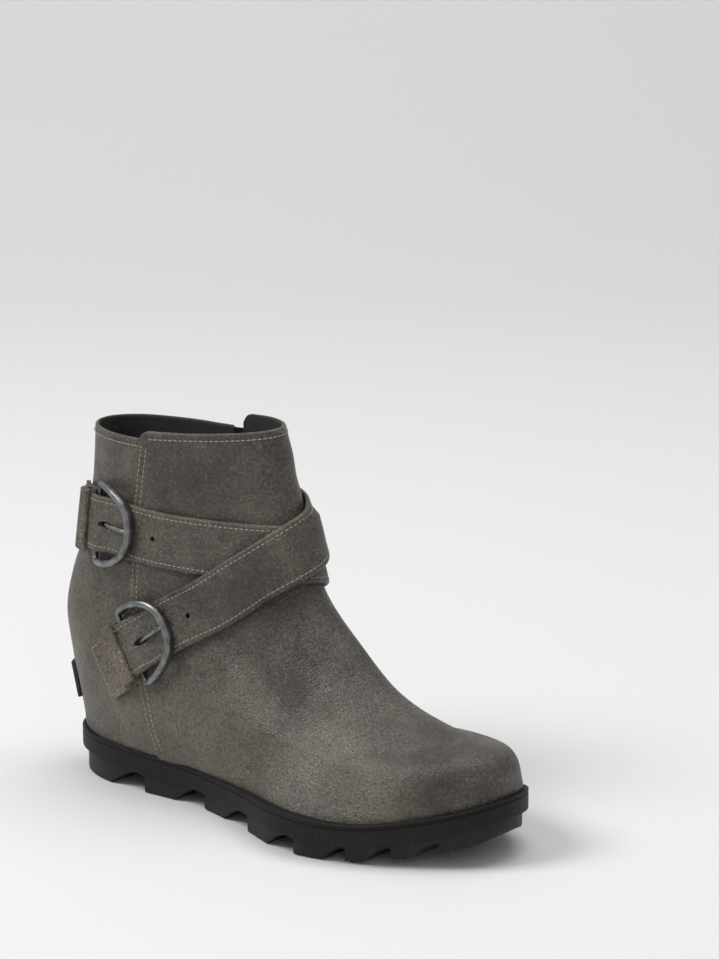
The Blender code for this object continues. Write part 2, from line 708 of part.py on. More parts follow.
def make_ring(name, path, metal):
    """D ring that lies over its strap with the curved bar and under it with the straight one."""
    line = ring_path()
    share = np.clip(line[:, 0] / RING_DEPTH, 0, 1)
    low = FIT_GAP + HIDDEN_BAR / 2 + 0.0002
    high = 2 * FIT_GAP + STRAP_THICKNESS + RING_THICKNESS / 2
    height = low + (high - low) * smooth_step(share, -0.1, 0.75)
    bulk = smooth_step(share, -0.02, 0.16)
    width = HIDDEN_BAR + (RING_WIDTH - HIDDEN_BAR) * bulk
    depth = HIDDEN_BAR + (RING_THICKNESS - HIDDEN_BAR) * bulk
    way = np.roll(line, -1, axis=0) - np.roll(line, 1, axis=0)
    way /= np.linalg.norm(way, axis=1, keepdims=True)
    turn = (np.arange(8) + 0.5) * np.pi / 4
    across = np.sign(np.cos(turn)) * np.abs(np.cos(turn)) ** 0.75 * width[:, None] / 2
    out = np.sign(np.sin(turn)) * np.abs(np.sin(turn)) ** 0.75 * depth[:, None] / 2
    along = BAR_PLACE + line[:, :1] + way[:, 1:] * across
    rings = path.point(along, line[:, 1:] - way[:, :1] * across, height[:, None] + out)
    return add_piece(name, *loft(rings, closed=True), metal)


def make_prong(name, path, metal):
    """Pin from the hidden bar up through the strap's hole to the curved bar."""
    places = np.array([0.075, 0.19, 0.34, 0.49, 0.7, 0.9]) * RING_DEPTH
    heights = np.array([0.0017, 0.0019, 0.0032, 0.0043, 0.0043, 0.0043])
    thickness = np.array([0.8, 0.9, 1.0, 1.0, 1.0, 0.8]) * PRONG_THICKNESS / 2
    turn = (np.arange(8) + 0.5) * np.pi / 4
    across = thickness[:, None] * np.cos(turn)
    out = heights[:, None] + thickness[:, None] * 0.8 * np.sin(turn)
    rings = path.point(BAR_PLACE + places[:, None], across, out)
    return add_piece(name, *loft(rings), metal)


def make_keeper(name, path, suede):
    """Raw-edged loop sewn behind the buckle that holds the strap's tail."""
    edge = BAR_PLACE - HIDDEN_BAR / 2 - 2 * FIT_GAP
    tail = TAIL_END - FIT_GAP
    rear = edge - KEEPER_LENGTH
    step = 0.002
    under = FIT_GAP + TAIL_LIFT
    over = under + STRAP_THICKNESS + FIT_GAP
    ledge = np.linspace(edge, tail, 4)
    crest = FIT_GAP + KEEPER_THICKNESS
    profile = [(place, FIT_GAP) for place in np.linspace(rear, edge, 7)]
    profile += [(place, under - FIT_GAP) for place in ledge]
    profile += [(place, over) for place in ledge[::-1]]
    profile += [(place, over + KEEPER_THICKNESS) for place in ledge]
    profile += [(tail - step, over + KEEPER_THICKNESS * 0.7), (tail - 2.4 * step, crest + KEEPER_THICKNESS * 0.5)]
    profile += [(place, crest) for place in np.linspace(tail - 3.6 * step, rear + 0.0008, 3)]
    profile += [(rear, FIT_GAP + KEEPER_THICKNESS * 0.6)]
    along = np.array([p[0] for p in profile])
    out = np.array([p[1] for p in profile])
    sides = np.linspace(-0.5, 0.5, 7) * (STRAP_WIDTH + 0.003)
    rings = path.point(along[None, :], sides[:, None], out[None, :])
    return add_piece(name, *loft(rings), suede)


# Zip


def zip_angle(rise):
    return angle_at(ZIP_PLACE, rise, inner=True)


def zip_rise(height):
    """Ring where the zip's middle line reaches a height."""
    rise = np.full(np.shape(height), 0.6)
    for _ in range(12):
        rise = rise_at(zip_angle(rise), height)
    return rise


def zip_frame(height):
    rise = zip_rise(height)
    angle = zip_angle(rise)
    round_way, _, normal = upper_frame(angle, rise)
    up = unit(upper_point(zip_angle(rise + 0.02), rise + 0.02) - upper_point(zip_angle(rise - 0.02), rise - 0.02))
    forward = -round_way
    forward = unit(forward - up * (forward * up).sum(-1, keepdims=True))
    return upper_point(angle, rise), forward, up, unit(np.cross(forward, up)) * -1, normal


def make_coil(dark):
    """Closed zip coil on its tape, just under the upper's outer face, in the slot."""
    top = rim_height(np.degrees(slot_angle(1.0, -1)) - 360, False) - 0.0006
    heights = np.linspace(upper_grids()[3] + 2 * FIT_GAP, top, 22)
    half = ZIP_SLOT / 2 - FIT_GAP * 1.5
    across = np.array([-1.0, -0.35, 0.35, 1.0]) * half
    crown = np.array([-0.0005, 0.0, 0.0, -0.0005])
    rows_out, rows_in = [], []
    rise = zip_rise(heights)
    for r in rise:
        angle = angle_at(ZIP_PLACE + across, np.full(4, r), inner=True)
        rows_out.append(upper_offset(angle, np.full(4, r), crown - COIL_DEPTH))
        rows_in.append(upper_offset(angle, np.full(4, r), np.full(4, -COIL_DEPTH - COIL_THICKNESS)))
    return add_piece("zip_coil", *slab(np.array(rows_out), np.array(rows_in)), dark)


def slider_frame():
    """Middle of the slider on the upper's face and its axes forward, up and out."""
    height = BACK_HEIGHT - SLIDER_DROP
    middle, forward, up, out, normal = zip_frame(np.array(height))
    out = normal
    forward = unit(np.cross(up, out))
    if forward[0] < 0:
        forward = -forward
    up = unit(np.cross(out, forward))
    if up[2] < 0:
        up = -up
    return middle, forward, up, out


def plate(centre, forward, up, out, outline_points, low, high, hole=None):
    """Flat plate from an outline in the forward-up plane, with an optional hole of equal count."""

    def lifted(points, level):
        return [centre + forward * a + up * b + out * level for a, b in points]

    if hole is None:
        return loft([lifted(outline_points, low), lifted(outline_points, high)])
    rings = [lifted(outline_points, low), lifted(outline_points, high), lifted(hole, high), lifted(hole, low)]
    return loft(rings, closed=True)


def rectangle(width, top, bottom, corner):
    half = width / 2
    return [(-half, bottom + corner), (-half + corner, bottom), (half - corner, bottom), (half, bottom + corner),
            (half, top - corner), (half - corner, top), (-half + corner, top), (-half, top - corner)]


def make_slider(metal):
    """Slider body with the bridge that the pull hangs from, as one solid."""
    middle, forward, up, out = slider_frame()
    top, bottom = SLIDER_HEIGHT / 2, -SLIDER_HEIGHT / 2
    half = SLIDER_WIDTH / 2
    body = [(-half, top * 0.3), (-half * 0.62, bottom), (half * 0.62, bottom), (half, top * 0.3),
            (half, top * 0.8), (half * 0.5, top), (-half * 0.5, top), (-half, top * 0.8)]
    points, faces = plate(middle, forward, up, out, body, FIT_GAP, SLIDER_THICKNESS)
    piece = add_piece("zip_slider", points, faces, metal)
    bridge_half = BRIDGE_SPAN / 2
    leg = 0.0016
    crown = PIVOT_HEIGHT + BRIDGE_CLEAR + 0.0011
    arch = [(-bridge_half, SLIDER_THICKNESS - 0.0004), (-bridge_half, crown - 0.001), (-bridge_half + 0.001, crown),
            (bridge_half - 0.001, crown), (bridge_half, crown - 0.001), (bridge_half, SLIDER_THICKNESS - 0.0004),
            (bridge_half - leg, SLIDER_THICKNESS - 0.0004), (bridge_half - leg, PIVOT_HEIGHT + BRIDGE_CLEAR),
            (-bridge_half + leg, PIVOT_HEIGHT + BRIDGE_CLEAR), (-bridge_half + leg, SLIDER_THICKNESS - 0.0004)]
    rings = []
    for side in (-0.5, 0.5):
        rings.append([middle + forward * side * BRIDGE_WIDTH + up * b + out * c for b, c in arch])
    bridge = add_piece("zip_slider_bridge", *loft(rings), metal)
    join = piece.modifiers.new("join", "BOOLEAN")
    join.operation = "UNION"
    join.solver = "EXACT"
    join.object = bridge
    bridge.hide_render = True
    bridge.display_type = "WIRE"
    return piece


def make_pull(metal, leather):
    """Metal pull round the slider's bridge and the leather tab it carries; both turn about the bridge."""
    middle, forward, up, out = slider_frame()
    pivot = middle + out * PIVOT_HEIGHT
    eye = 0.0007
    bar = 0.0016
    low, high = -PULL_THICKNESS / 2, PULL_THICKNESS / 2
    shape = rectangle(PULL_WIDTH, eye, -PULL_LENGTH, 0.0005)
    inner_top = eye - bar * 0.9
    hole = rectangle(BRIDGE_WIDTH + 0.0012, inner_top, inner_top - 0.0044, 0.0003)
    pull = add_piece("zip_pull", *plate(pivot, forward, up, out, shape, low, high, hole), metal, pivot)
    half = TAB_WIDTH / 2
    start = -PULL_LENGTH - FIT_GAP
    end = start - TAB_LENGTH
    tab_shape = [(-half * 0.92, start), (-half, start - 0.004), (-half, end + 0.004), (-half * 0.7, end),
                 (half * 0.7, end), (half, end + 0.004), (half, start - 0.004), (half * 0.92, start)]
    thick = TAB_THICKNESS / 2
    tab = add_piece("zip_tab", *plate(pivot, forward, up, out, tab_shape, -thick, thick), leather, pivot)
    hinge = bpy.data.objects.new("zip_pull_hinge", None)
    bpy.context.scene.collection.objects.link(hinge)
    hinge.location = pull.location.copy()
    for piece in (pull, tab):
        piece.parent = hinge
        piece.location = (0, 0, 0)
    return pull, tab


# Heel patch


def make_patch(dark):
    """Plain patch low on the back seam."""
    half = PATCH_WIDTH / 2 / 0.019
    middle = platform_height(0.0) + LIP_HEIGHT + 0.0115 + PATCH_HEIGHT / 2
    angles = np.linspace(-1, 1, 9) * half * 0.36
    heights = middle + np.array([-0.5, -0.17, 0.17, 0.5]) * PATCH_HEIGHT
    rises = np.array([rise_at(angles, h) for h in heights])
    grid = np.broadcast_to(angles, rises.shape)
    top = upper_offset(grid, rises, np.full(rises.shape, FIT_GAP + PATCH_THICKNESS))
    bottom = upper_offset(grid, rises, np.full(rises.shape, FIT_GAP))
    return add_piece("heel_patch", *slab(top, bottom), dark)


def main():
    for old in list(bpy.data.objects):
        bpy.data.objects.remove(old, do_unlink=True)
    leather = material("waxed_leather", (0.105, 0.092, 0.075), 0.55)
    suede = material("raw_leather", (0.20, 0.165, 0.125), 0.85)
    rubber = material("black_rubber", (0.018, 0.018, 0.019), 0.6)
    cork = material("footbed", (0.05, 0.047, 0.045), 0.9)
    metal = material("aged_pewter", (0.32, 0.33, 0.33), 0.42, 1.0)
    dark = material("zip_coil", (0.02, 0.02, 0.022), 0.5)
    make_upper(leather)
    make_midsole(rubber)
    make_outsole(rubber)
    make_insole(cork)
    upper_path = StrapPath(UPPER_STRAP_LINE)
    lower_path = StrapPath(LOWER_STRAP_LINE)
    for name, path, under in (("upper", upper_path, None), ("lower", lower_path, upper_path)):
        make_strap(name + "_strap", path, under, leather)
        make_ring(name + "_buckle", path, metal)
        make_prong(name + "_prong", path, metal)
        make_keeper(name + "_keeper", path, suede)
    make_coil(dark)
    make_slider(metal)
    make_pull(metal, leather)
    make_patch(dark)


main()
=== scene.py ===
# %% [markdown]
# # A wedge ankle boot, dressed piece by piece
# The boot is a soft leather upper on a deep rubber sole, closed by a zip and wrapped by two buckle
# straps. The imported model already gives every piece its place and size. Here each visible piece is
# worked out again as a fine surface from the same few sizes, and then gets its leather, metal or rubber.

import bmesh
import bpy
import numpy as np
from mathutils import Matrix, Vector


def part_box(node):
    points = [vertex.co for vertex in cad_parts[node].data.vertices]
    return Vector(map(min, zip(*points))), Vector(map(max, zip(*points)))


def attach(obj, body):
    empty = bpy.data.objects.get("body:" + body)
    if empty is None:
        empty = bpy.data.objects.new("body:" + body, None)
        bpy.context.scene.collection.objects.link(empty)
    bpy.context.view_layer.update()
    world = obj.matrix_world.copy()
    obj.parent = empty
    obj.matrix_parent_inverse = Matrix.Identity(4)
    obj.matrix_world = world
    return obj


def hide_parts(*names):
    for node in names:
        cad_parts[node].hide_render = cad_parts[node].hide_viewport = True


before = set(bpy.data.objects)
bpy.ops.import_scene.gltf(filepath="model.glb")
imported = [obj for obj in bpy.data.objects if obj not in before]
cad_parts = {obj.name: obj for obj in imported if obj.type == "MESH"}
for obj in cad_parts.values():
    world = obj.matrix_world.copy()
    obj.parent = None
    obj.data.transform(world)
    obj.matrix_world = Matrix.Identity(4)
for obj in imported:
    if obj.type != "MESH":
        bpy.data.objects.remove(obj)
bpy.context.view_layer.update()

# %% [markdown]
# ## The sizes the boot is drawn with
# A shoemaker draws a boot from the sole's length, the ball width and the shaft's heights. The same
# sizes, and tables of shares of them, describe the boot here, so that each fine surface lies exactly
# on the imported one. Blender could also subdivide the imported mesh, but that would round off its seams.

# %% Named sizes in metres
SOLE_LENGTH, BALL_WIDTH, SOLE_THICKNESS = 0.250, 0.096, 0.0234
TOE_SPRING, TOE_SWING = 0.0125, 0.006
BAND_OVERHANG, BAND_HEIGHT, LIP_HEIGHT = 0.0028, 0.0105, 0.0045
LUG_DEPTH, HEEL_REST = 0.0088, 0.018
BACK_HEIGHT, FRONT_HEIGHT, COLLAR_WIDTH = 0.1735, 0.1835, 0.057
WALL, FIT_GAP, FACET_ROOM = 0.0024, 0.0003, 0.0004
STRAP_WIDTH, STRAP_THICKNESS = 0.0275, 0.0024
KEEPER_THICKNESS, KEEPER_LENGTH = 0.0020, 0.0245
RING_HEIGHT, RING_DEPTH, RING_WIDTH, RING_THICKNESS, HIDDEN_BAR = 0.0380, 0.0265, 0.0037, 0.0046, 0.0026
PRONG_THICKNESS, HOLE_PLACE, HOLE_LENGTH, HOLE_WIDTH = 0.0022, 0.009, 0.0078, 0.0034
BAR_PLACE, TAIL_END, TAIL_LIFT = 0.0230, 0.0160, 0.0034
ZIP_PLACE, ZIP_SLOT, ZIP_LENGTH = 0.0655, 0.0066, 0.116
MM = 0.001

# %% Tables of shares: half widths of the rings, their ends, the sole and the straps
PLACES = (0.0, 0.10, 0.20, 0.35, 0.50, 0.65, 0.80, 0.92, 1.0)
OUTER_SHARES = {
    0.00: (0.505, 0.430, 0.355, 0.305, 0.405, 0.575, 0.605, 0.585, 0.635),
    0.12: (0.505, 0.465, 0.440, 0.395, 0.385, 0.430, 0.505, 0.560, 0.595),
    0.25: (0.515, 0.475, 0.440, 0.400, 0.385, 0.395, 0.430, 0.465, 0.495),
    0.40: (0.545, 0.500, 0.450, 0.410, 0.390, 0.375, 0.375, 0.400, 0.430),
    0.55: (0.555, 0.510, 0.470, 0.435, 0.410, 0.375, 0.360, 0.375, 0.415),
    0.70: (0.540, 0.510, 0.490, 0.460, 0.435, 0.410, 0.395, 0.400, 0.420),
    0.85: (0.525, 0.515, 0.510, 0.495, 0.475, 0.455, 0.435, 0.435, 0.455),
    1.00: (0.500, 0.510, 0.520, 0.535, 0.545, 0.510, 0.465, 0.455, 0.455),
}
INNER_SHARES = {
    0.00: (0.505, 0.455, 0.375, 0.330, 0.360, 0.470, 0.520, 0.605, 0.635),
    0.12: (0.505, 0.465, 0.440, 0.385, 0.370, 0.480, 0.600, 0.615, 0.595),
    0.25: (0.515, 0.475, 0.440, 0.395, 0.380, 0.405, 0.450, 0.480, 0.495),
    0.40: (0.545, 0.500, 0.455, 0.415, 0.390, 0.375, 0.375, 0.410, 0.430),
    0.55: (0.555, 0.510, 0.475, 0.440, 0.415, 0.375, 0.370, 0.400, 0.415),
    0.70: (0.540, 0.515, 0.495, 0.465, 0.445, 0.410, 0.395, 0.415, 0.420),
    0.85: (0.525, 0.510, 0.495, 0.475, 0.460, 0.455, 0.460, 0.460, 0.455),
    1.00: (0.500, 0.475, 0.450, 0.450, 0.455, 0.510, 0.545, 0.510, 0.455),
}
RINGS = tuple(OUTER_SHARES)
SIDE_TABLES = [np.array(list(table.values())).T for table in (OUTER_SHARES, INNER_SHARES)]
RING_ENDS = {
    0.00: (0.001, 0.999, None, None, 0.000),
    0.12: (-0.020, 0.984, 0.219, 0.262, 0.005),
    0.25: (-0.040, 0.876, 0.334, 0.286, 0.005),
    0.40: (-0.058, 0.752, 0.461, 0.342, 0.017),
    0.55: (-0.048, 0.644, 0.576, 0.450, 0.042),
    0.70: (-0.014, 0.552, 0.709, 0.580, 0.049),
    0.85: (-0.002, 0.504, 0.853, 0.749, 0.067),
    1.00: (0.004, 0.448, 1.029, 1.005, 0.065),
}
THICKNESS_SHARES = ((0.0, 1.0), (0.2, 0.93), (0.4, 0.85), (0.6, 0.89), (0.8, 0.78), (1.0, 0.785))
LUG_CUTS = ((0.126, 0.219, 1.00), (0.294, 0.378, 1.00), (0.441, 0.526, 1.00), (0.596, 0.673, 0.92),
            (0.734, 0.778, 0.72), (0.811, 0.856, 0.65), (0.889, 0.930, 0.55))
SEAM_LINE = ((0.0, 0.262), (0.14, 0.246), (0.25, 0.224), (0.42, 0.201), (0.57, 0.185), (0.73, 0.187),
             (0.86, 0.188), (1.0, 0.214))
BACK_RIM = ((-93.0, 0.0), (-60.0, 0.03), (0.0, 0.03), (60.0, 0.08), (88.0, 0.18))
FRONT_RIM = ((82.0, 0.58), (120.0, 0.75), (150.0, 0.92), (180.0, 1.0), (210.0, 0.92), (240.0, 0.76),
             (270.0, 0.60))
UPPER_STRAP_LINE = ((24, 0.745), (60, 0.748), (92, 0.738), (130, 0.732), (165, 0.725), (195, 0.705),
                    (225, 0.660), (250, 0.607), (269, 0.573))
LOWER_STRAP_LINE = ((53, 0.338), (67, 0.405), (88, 0.505), (110, 0.584), (135, 0.665), (165, 0.733),
                    (200, 0.772), (235, 0.786), (265, 0.790))
print("tables read:", len(RINGS), "rings,", len(LUG_CUTS), "lug cuts")

# %% [markdown]
# ## Curves through a few values
# Every table above holds only a few values. A smooth curve through them gives all the values between,
# in the same way as a flexible ruler laid on pins. It works on whole arrays at once, so that a surface
# of forty thousand points costs no more lines than one point.

# %% Smooth curves and unit vectors


def curve(knots, values, at):
    """Cubic pieces between the knots; each slope is the mean of its two neighbours' slopes."""
    knots = np.asarray(knots, float)
    at = np.clip(np.asarray(at, float), knots[0], knots[-1])
    values = np.asarray(values, float)
    if values.ndim == 1:
        values = values.reshape((-1,) + (1,) * at.ndim) + np.zeros(at.shape)
    step = np.diff(knots).reshape((-1,) + (1,) * at.ndim)
    rise = np.diff(values, axis=0) / step
    slope = np.empty_like(values)
    slope[1:-1] = (rise[:-1] * step[1:] + rise[1:] * step[:-1]) / (step[1:] + step[:-1])
    slope[0] = 1.5 * rise[0] - 0.5 * slope[1]
    slope[-1] = 1.5 * rise[-1] - 0.5 * slope[-2]
    cell = np.clip(np.searchsorted(knots, at, side="right") - 1, 0, len(knots) - 2)

    def pick(array, shift=0):
        return np.take_along_axis(array, (cell + shift)[None], 0)[0]

    width = knots[cell + 1] - knots[cell]
    t = (at - knots[cell]) / width
    start = (2 * t**3 - 3 * t**2 + 1) * pick(values) + (t**3 - 2 * t**2 + t) * width * pick(slope)
    end = (3 * t**2 - 2 * t**3) * pick(values, 1) + (t**3 - t**2) * width * pick(slope, 1)
    return start + end


def table_curve(rows, at):
    places, values = zip(*rows)
    return curve(places, values, at)


def smooth_step(at, start, end):
    """0 before start, 1 after end, and 3t squared minus 2t cubed between them."""
    t = np.clip((at - start) / (end - start), 0, 1)
    return t * t * (3 - 2 * t)


def hump(at, middle, width):
    """A soft bell: e to the minus square of the distance from the middle in widths."""
    return np.exp(-(((at - middle) / width) ** 2))


def unit(vectors):
    return vectors / np.maximum(np.linalg.norm(vectors, axis=-1, keepdims=True), 1e-12)


# %% [markdown]
# ## The upper's face as a function
# The upper is a stack of rings. An angle runs round each ring from the heel over the outer side, and a
# rise climbs from the sole to the collar. Half widths come from the tables, side by side for the outer
# and the inner face of the foot, because a foot isn't the same on both sides.

# %% Sole heights


def spring(share):
    return TOE_SPRING * np.clip((share - 0.70) / 0.30, 0, 1.1) ** 2


def band_top(share):
    return SOLE_THICKNESS * table_curve(THICKNESS_SHARES, share) + spring(share)


def band_bottom(share):
    return band_top(share) - BAND_HEIGHT


def platform_height(share):
    return band_top(share) - LIP_HEIGHT


# %% The upper's outer face


def half_width(angle, rise):
    """Width of the ring times the table's share, times the sine of the angle."""
    angle, rise = np.broadcast_arrays(angle, rise)
    flat = np.ravel(angle)
    share = np.broadcast_to((1 - np.cos(flat)) / 2, (len(RINGS), flat.size))
    rows = np.where(np.sin(flat) >= 0, SIDE_TABLES[0][..., None], SIDE_TABLES[1][..., None])
    shares = curve(RINGS, curve(PLACES, rows, share), np.ravel(rise)).reshape(angle.shape)
    return -np.sin(angle) * (BALL_WIDTH + (COLLAR_WIDTH - BALL_WIDTH) * rise) * shares


def ring_end(column, rise, first=None):
    rows = [row[column] for row in RING_ENDS.values()]
    return curve(RINGS, rows if first is None else [first] + rows[1:], rise)


def upper_point(angle, rise):
    """x and z go from the ring's back to its front with (1 - cos angle) / 2; y is the half width."""
    angle, rise = np.broadcast_arrays(np.asarray(angle, float), np.asarray(rise, float))
    share = (1 - np.cos(angle)) / 2
    heel, toe = platform_height(0.0), platform_height(1.0)
    back_x, front_x = SOLE_LENGTH * ring_end(0, rise), SOLE_LENGTH * ring_end(1, rise)
    back_z = BACK_HEIGHT * ring_end(2, rise, heel / BACK_HEIGHT)
    front_z = FRONT_HEIGHT * ring_end(3, rise, toe / FRONT_HEIGHT)
    fade = (1 - rise) ** 2
    wave = platform_height(share) - heel - (toe - heel) * share
    x = back_x + (front_x - back_x) * share - HEEL_REST
    y = half_width(angle, rise) + BALL_WIDTH * ring_end(4, rise) + TOE_SWING * share**2.5 * fade
    z = back_z + (front_z - back_z) * share + wave * fade
    return np.stack([x, y, z], -1)


def upper_frame(angle, rise):
    """Unit tangents round and up the face, their outward normal, and metres per radian round it."""
    low, high = np.clip(rise - 0.004, 0, 1), np.clip(rise + 0.004, 0, 1)
    round_way = (upper_point(angle + 0.01, rise) - upper_point(angle - 0.01, rise)) / 0.02
    up_way = unit(upper_point(angle, high) - upper_point(angle, low))
    speed = np.linalg.norm(round_way, axis=-1)
    return unit(round_way), up_way, unit(np.cross(round_way, up_way)), speed


def angle_at(place, rise, inner=False):
    back_x, front_x = SOLE_LENGTH * ring_end(0, rise), SOLE_LENGTH * ring_end(1, rise)
    angle = np.arccos(np.clip(1 - 2 * (place - back_x) / (front_x - back_x), -1, 1))
    return 2 * np.pi - angle if inner else angle


def rise_at(angle, height):
    """Halves the range of rises until the ring reaches the height."""
    angle, height = np.broadcast_arrays(np.asarray(angle, float), np.asarray(height, float))
    low, high = np.zeros(angle.shape), np.ones(angle.shape)
    for _ in range(18):
        middle = (low + high) / 2
        under = upper_point(angle, middle)[..., 2] < height
        low, high = np.where(under, middle, low), np.where(under, high, middle)
    return (low + high) / 2


def foot_on_upper(points, angle, rise):
    """Nearest place on the face, by stepping along both tangents until the gap is square to them."""
    for _ in range(6):
        base = upper_point(angle, rise)
        d_angle = (upper_point(angle + 0.002, rise) - base) / 0.002
        step = np.where(rise > 0.99, -0.002, 0.002)
        d_rise = (upper_point(angle, rise + step) - base) / step[..., None]
        gap = points - base
        aa, rr, ar = (d_angle**2).sum(-1), (d_rise**2).sum(-1), (d_angle * d_rise).sum(-1)
        ga, gr = (gap * d_angle).sum(-1), (gap * d_rise).sum(-1)
        scale = np.maximum(aa * rr - ar**2, 1e-14)
        angle = angle + np.clip((ga * rr - gr * ar) / scale, -0.2, 0.2)
        rise = np.clip(rise + np.clip((gr * aa - ga * ar) / scale, -0.1, 0.1), 0, 1)
    return angle, rise


def seam_angle(rise):
    return angle_at(SOLE_LENGTH * table_curve(SEAM_LINE, rise), rise)


def slot_angle(rise, side):
    return angle_at(ZIP_PLACE + side * ZIP_SLOT / 2, rise, inner=True)


def rim_height(degrees, front):
    share = table_curve(FRONT_RIM if front else BACK_RIM, degrees)
    return BACK_HEIGHT + (FRONT_HEIGHT - BACK_HEIGHT) * share


print("collar at the back", np.round(upper_point(0.0, 1.0), 4))

# %% [markdown]
# ## From grids of points to meshes
# A grid of points becomes a mesh when each cell gets a four-sided face. Two grids a wall apart, joined
# along their borders, make a real sheet of leather. Rings of points along a path make a tube, a strap
# or a stitch. The faces are numbered with whole arrays, which is fast even for large grids.

# %% Meshes from arrays


def mesh_piece(name, points, faces, uv=None, sharp=40):
    """Makes an object at the origin; uv holds a pair for each point."""
    mesh = bpy.data.meshes.new(name)
    mesh.from_pydata(np.asarray(points).reshape(-1, 3).tolist(), [], [list(map(int, f)) for f in faces])
    if uv is not None:
        corner = np.zeros(len(mesh.loops), np.int32)
        mesh.loops.foreach_get("vertex_index", corner)
        layer = mesh.uv_layers.new(name="UVMap")
        layer.data.foreach_set("uv", np.asarray(uv, np.float32).reshape(-1, 2)[corner].ravel())
    mesh.shade_smooth()
    mesh.set_sharp_from_angle(angle=np.radians(sharp))
    piece = bpy.data.objects.new(name, mesh)
    bpy.context.scene.collection.objects.link(piece)
    return piece


def grid_faces(rows, columns, wrap=False, keep=None, start=0, flip=False):
    """Quads of a grid: corners (i, j), (i, j+1), (i+1, j+1) and (i+1, j)."""
    across = columns if wrap else columns - 1
    i, j = np.meshgrid(np.arange(rows - 1), np.arange(across), indexing="ij")
    if keep is not None:
        i, j = i[keep], j[keep]
    i, j = i.ravel(), j.ravel()
    k = (j + 1) % columns
    low, high = start + i * columns, start + (i + 1) * columns
    quads = np.stack([low + j, low + k, high + k, high + j], -1)
    return quads[:, ::-1] if flip else quads


def slab(outer, inner, wrap=False, keep=None):
    """Closed sheet: two grids and the strips that join their free borders."""
    rows, columns = outer.shape[:2]
    across = columns if wrap else columns - 1
    keep = np.ones((rows - 1, across), bool) if keep is None else keep
    count = rows * columns
    faces = [grid_faces(rows, columns, wrap, keep), grid_faces(rows, columns, wrap, keep, count, True)]
    padded = np.zeros((rows + 1, across + 2), bool)
    padded[1:-1, 1:-1] = keep
    if wrap:
        padded[1:-1, 0], padded[1:-1, -1] = keep[:, -1], keep[:, 0]
    i, j = np.nonzero(keep)
    k = (j + 1) % columns
    corners = [i * columns + j, i * columns + k, (i + 1) * columns + k, (i + 1) * columns + j]
    for n, (di, dj) in enumerate(((-1, 0), (0, 1), (1, 0), (0, -1))):
        free = ~padded[i + 1 + di, j + 1 + dj]
        a, b = corners[n][free], corners[(n + 1) % 4][free]
        faces.append(np.stack([a, a + count, b + count, b], -1))
    return np.concatenate([outer.reshape(-1, 3), inner.reshape(-1, 3)]), np.concatenate(faces)


def tube(rings, closed=False):
    """Rings joined in order; each open end is closed by one face, which may be hollow in outline."""
    rings = np.asarray(rings, float)
    count, size = rings.shape[:2]
    points = rings.reshape(-1, 3)
    if closed:
        rows = np.concatenate([np.arange(count), [0]])
        i, j = np.meshgrid(np.arange(count), np.arange(size), indexing="ij")
        i, j, k, n = i.ravel(), j.ravel(), (j.ravel() + 1) % size, rows[i.ravel() + 1]
        return points, np.stack([i * size + j, i * size + k, n * size + k, n * size + j], -1).tolist()
    faces = grid_faces(count, size, wrap=True).tolist()
    last = (count - 1) * size
    return points, faces + [list(range(size))[::-1], list(range(last, last + size))]


def vertex_array(mesh):
    points = np.zeros(len(mesh.vertices) * 3)
    mesh.vertices.foreach_get("co", points)
    return points.reshape(-1, 3)


def outward(piece):
    """Turns a closed mesh's faces outwards where its volume came out negative."""
    mesh = piece.data
    mesh.calc_loop_triangles()
    index = np.zeros(len(mesh.loop_triangles) * 3, np.int32)
    mesh.loop_triangles.foreach_get("vertices", index)
    a, b, c = vertex_array(mesh)[index.reshape(-1, 3)].transpose(1, 0, 2)
    if (a * np.cross(b, c)).sum() < 0:
        mesh.flip_normals()
    return piece


def finish_piece(piece, material, body, slot, *nodes):
    """Gives a piece its finish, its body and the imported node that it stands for."""
    outward(piece)
    piece.data.materials.clear()
    piece.data.materials.append(material)
    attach(piece, body)
    if nodes:
        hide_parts(*nodes)
    print(piece.name, len(piece.data.polygons), "faces")
    return piece


# %% [markdown]
# ## Finishes
# Waxed leather is never one colour: it has cloudy tones, rubbed light spots and a fine pebble grain.
# Layers of noise at different sizes give that, from clouds as wide as a hand to grains of less than a
# millimetre. Image textures would be quicker to paint, but noise has no seams and no limit of detail.

# %% Node helper


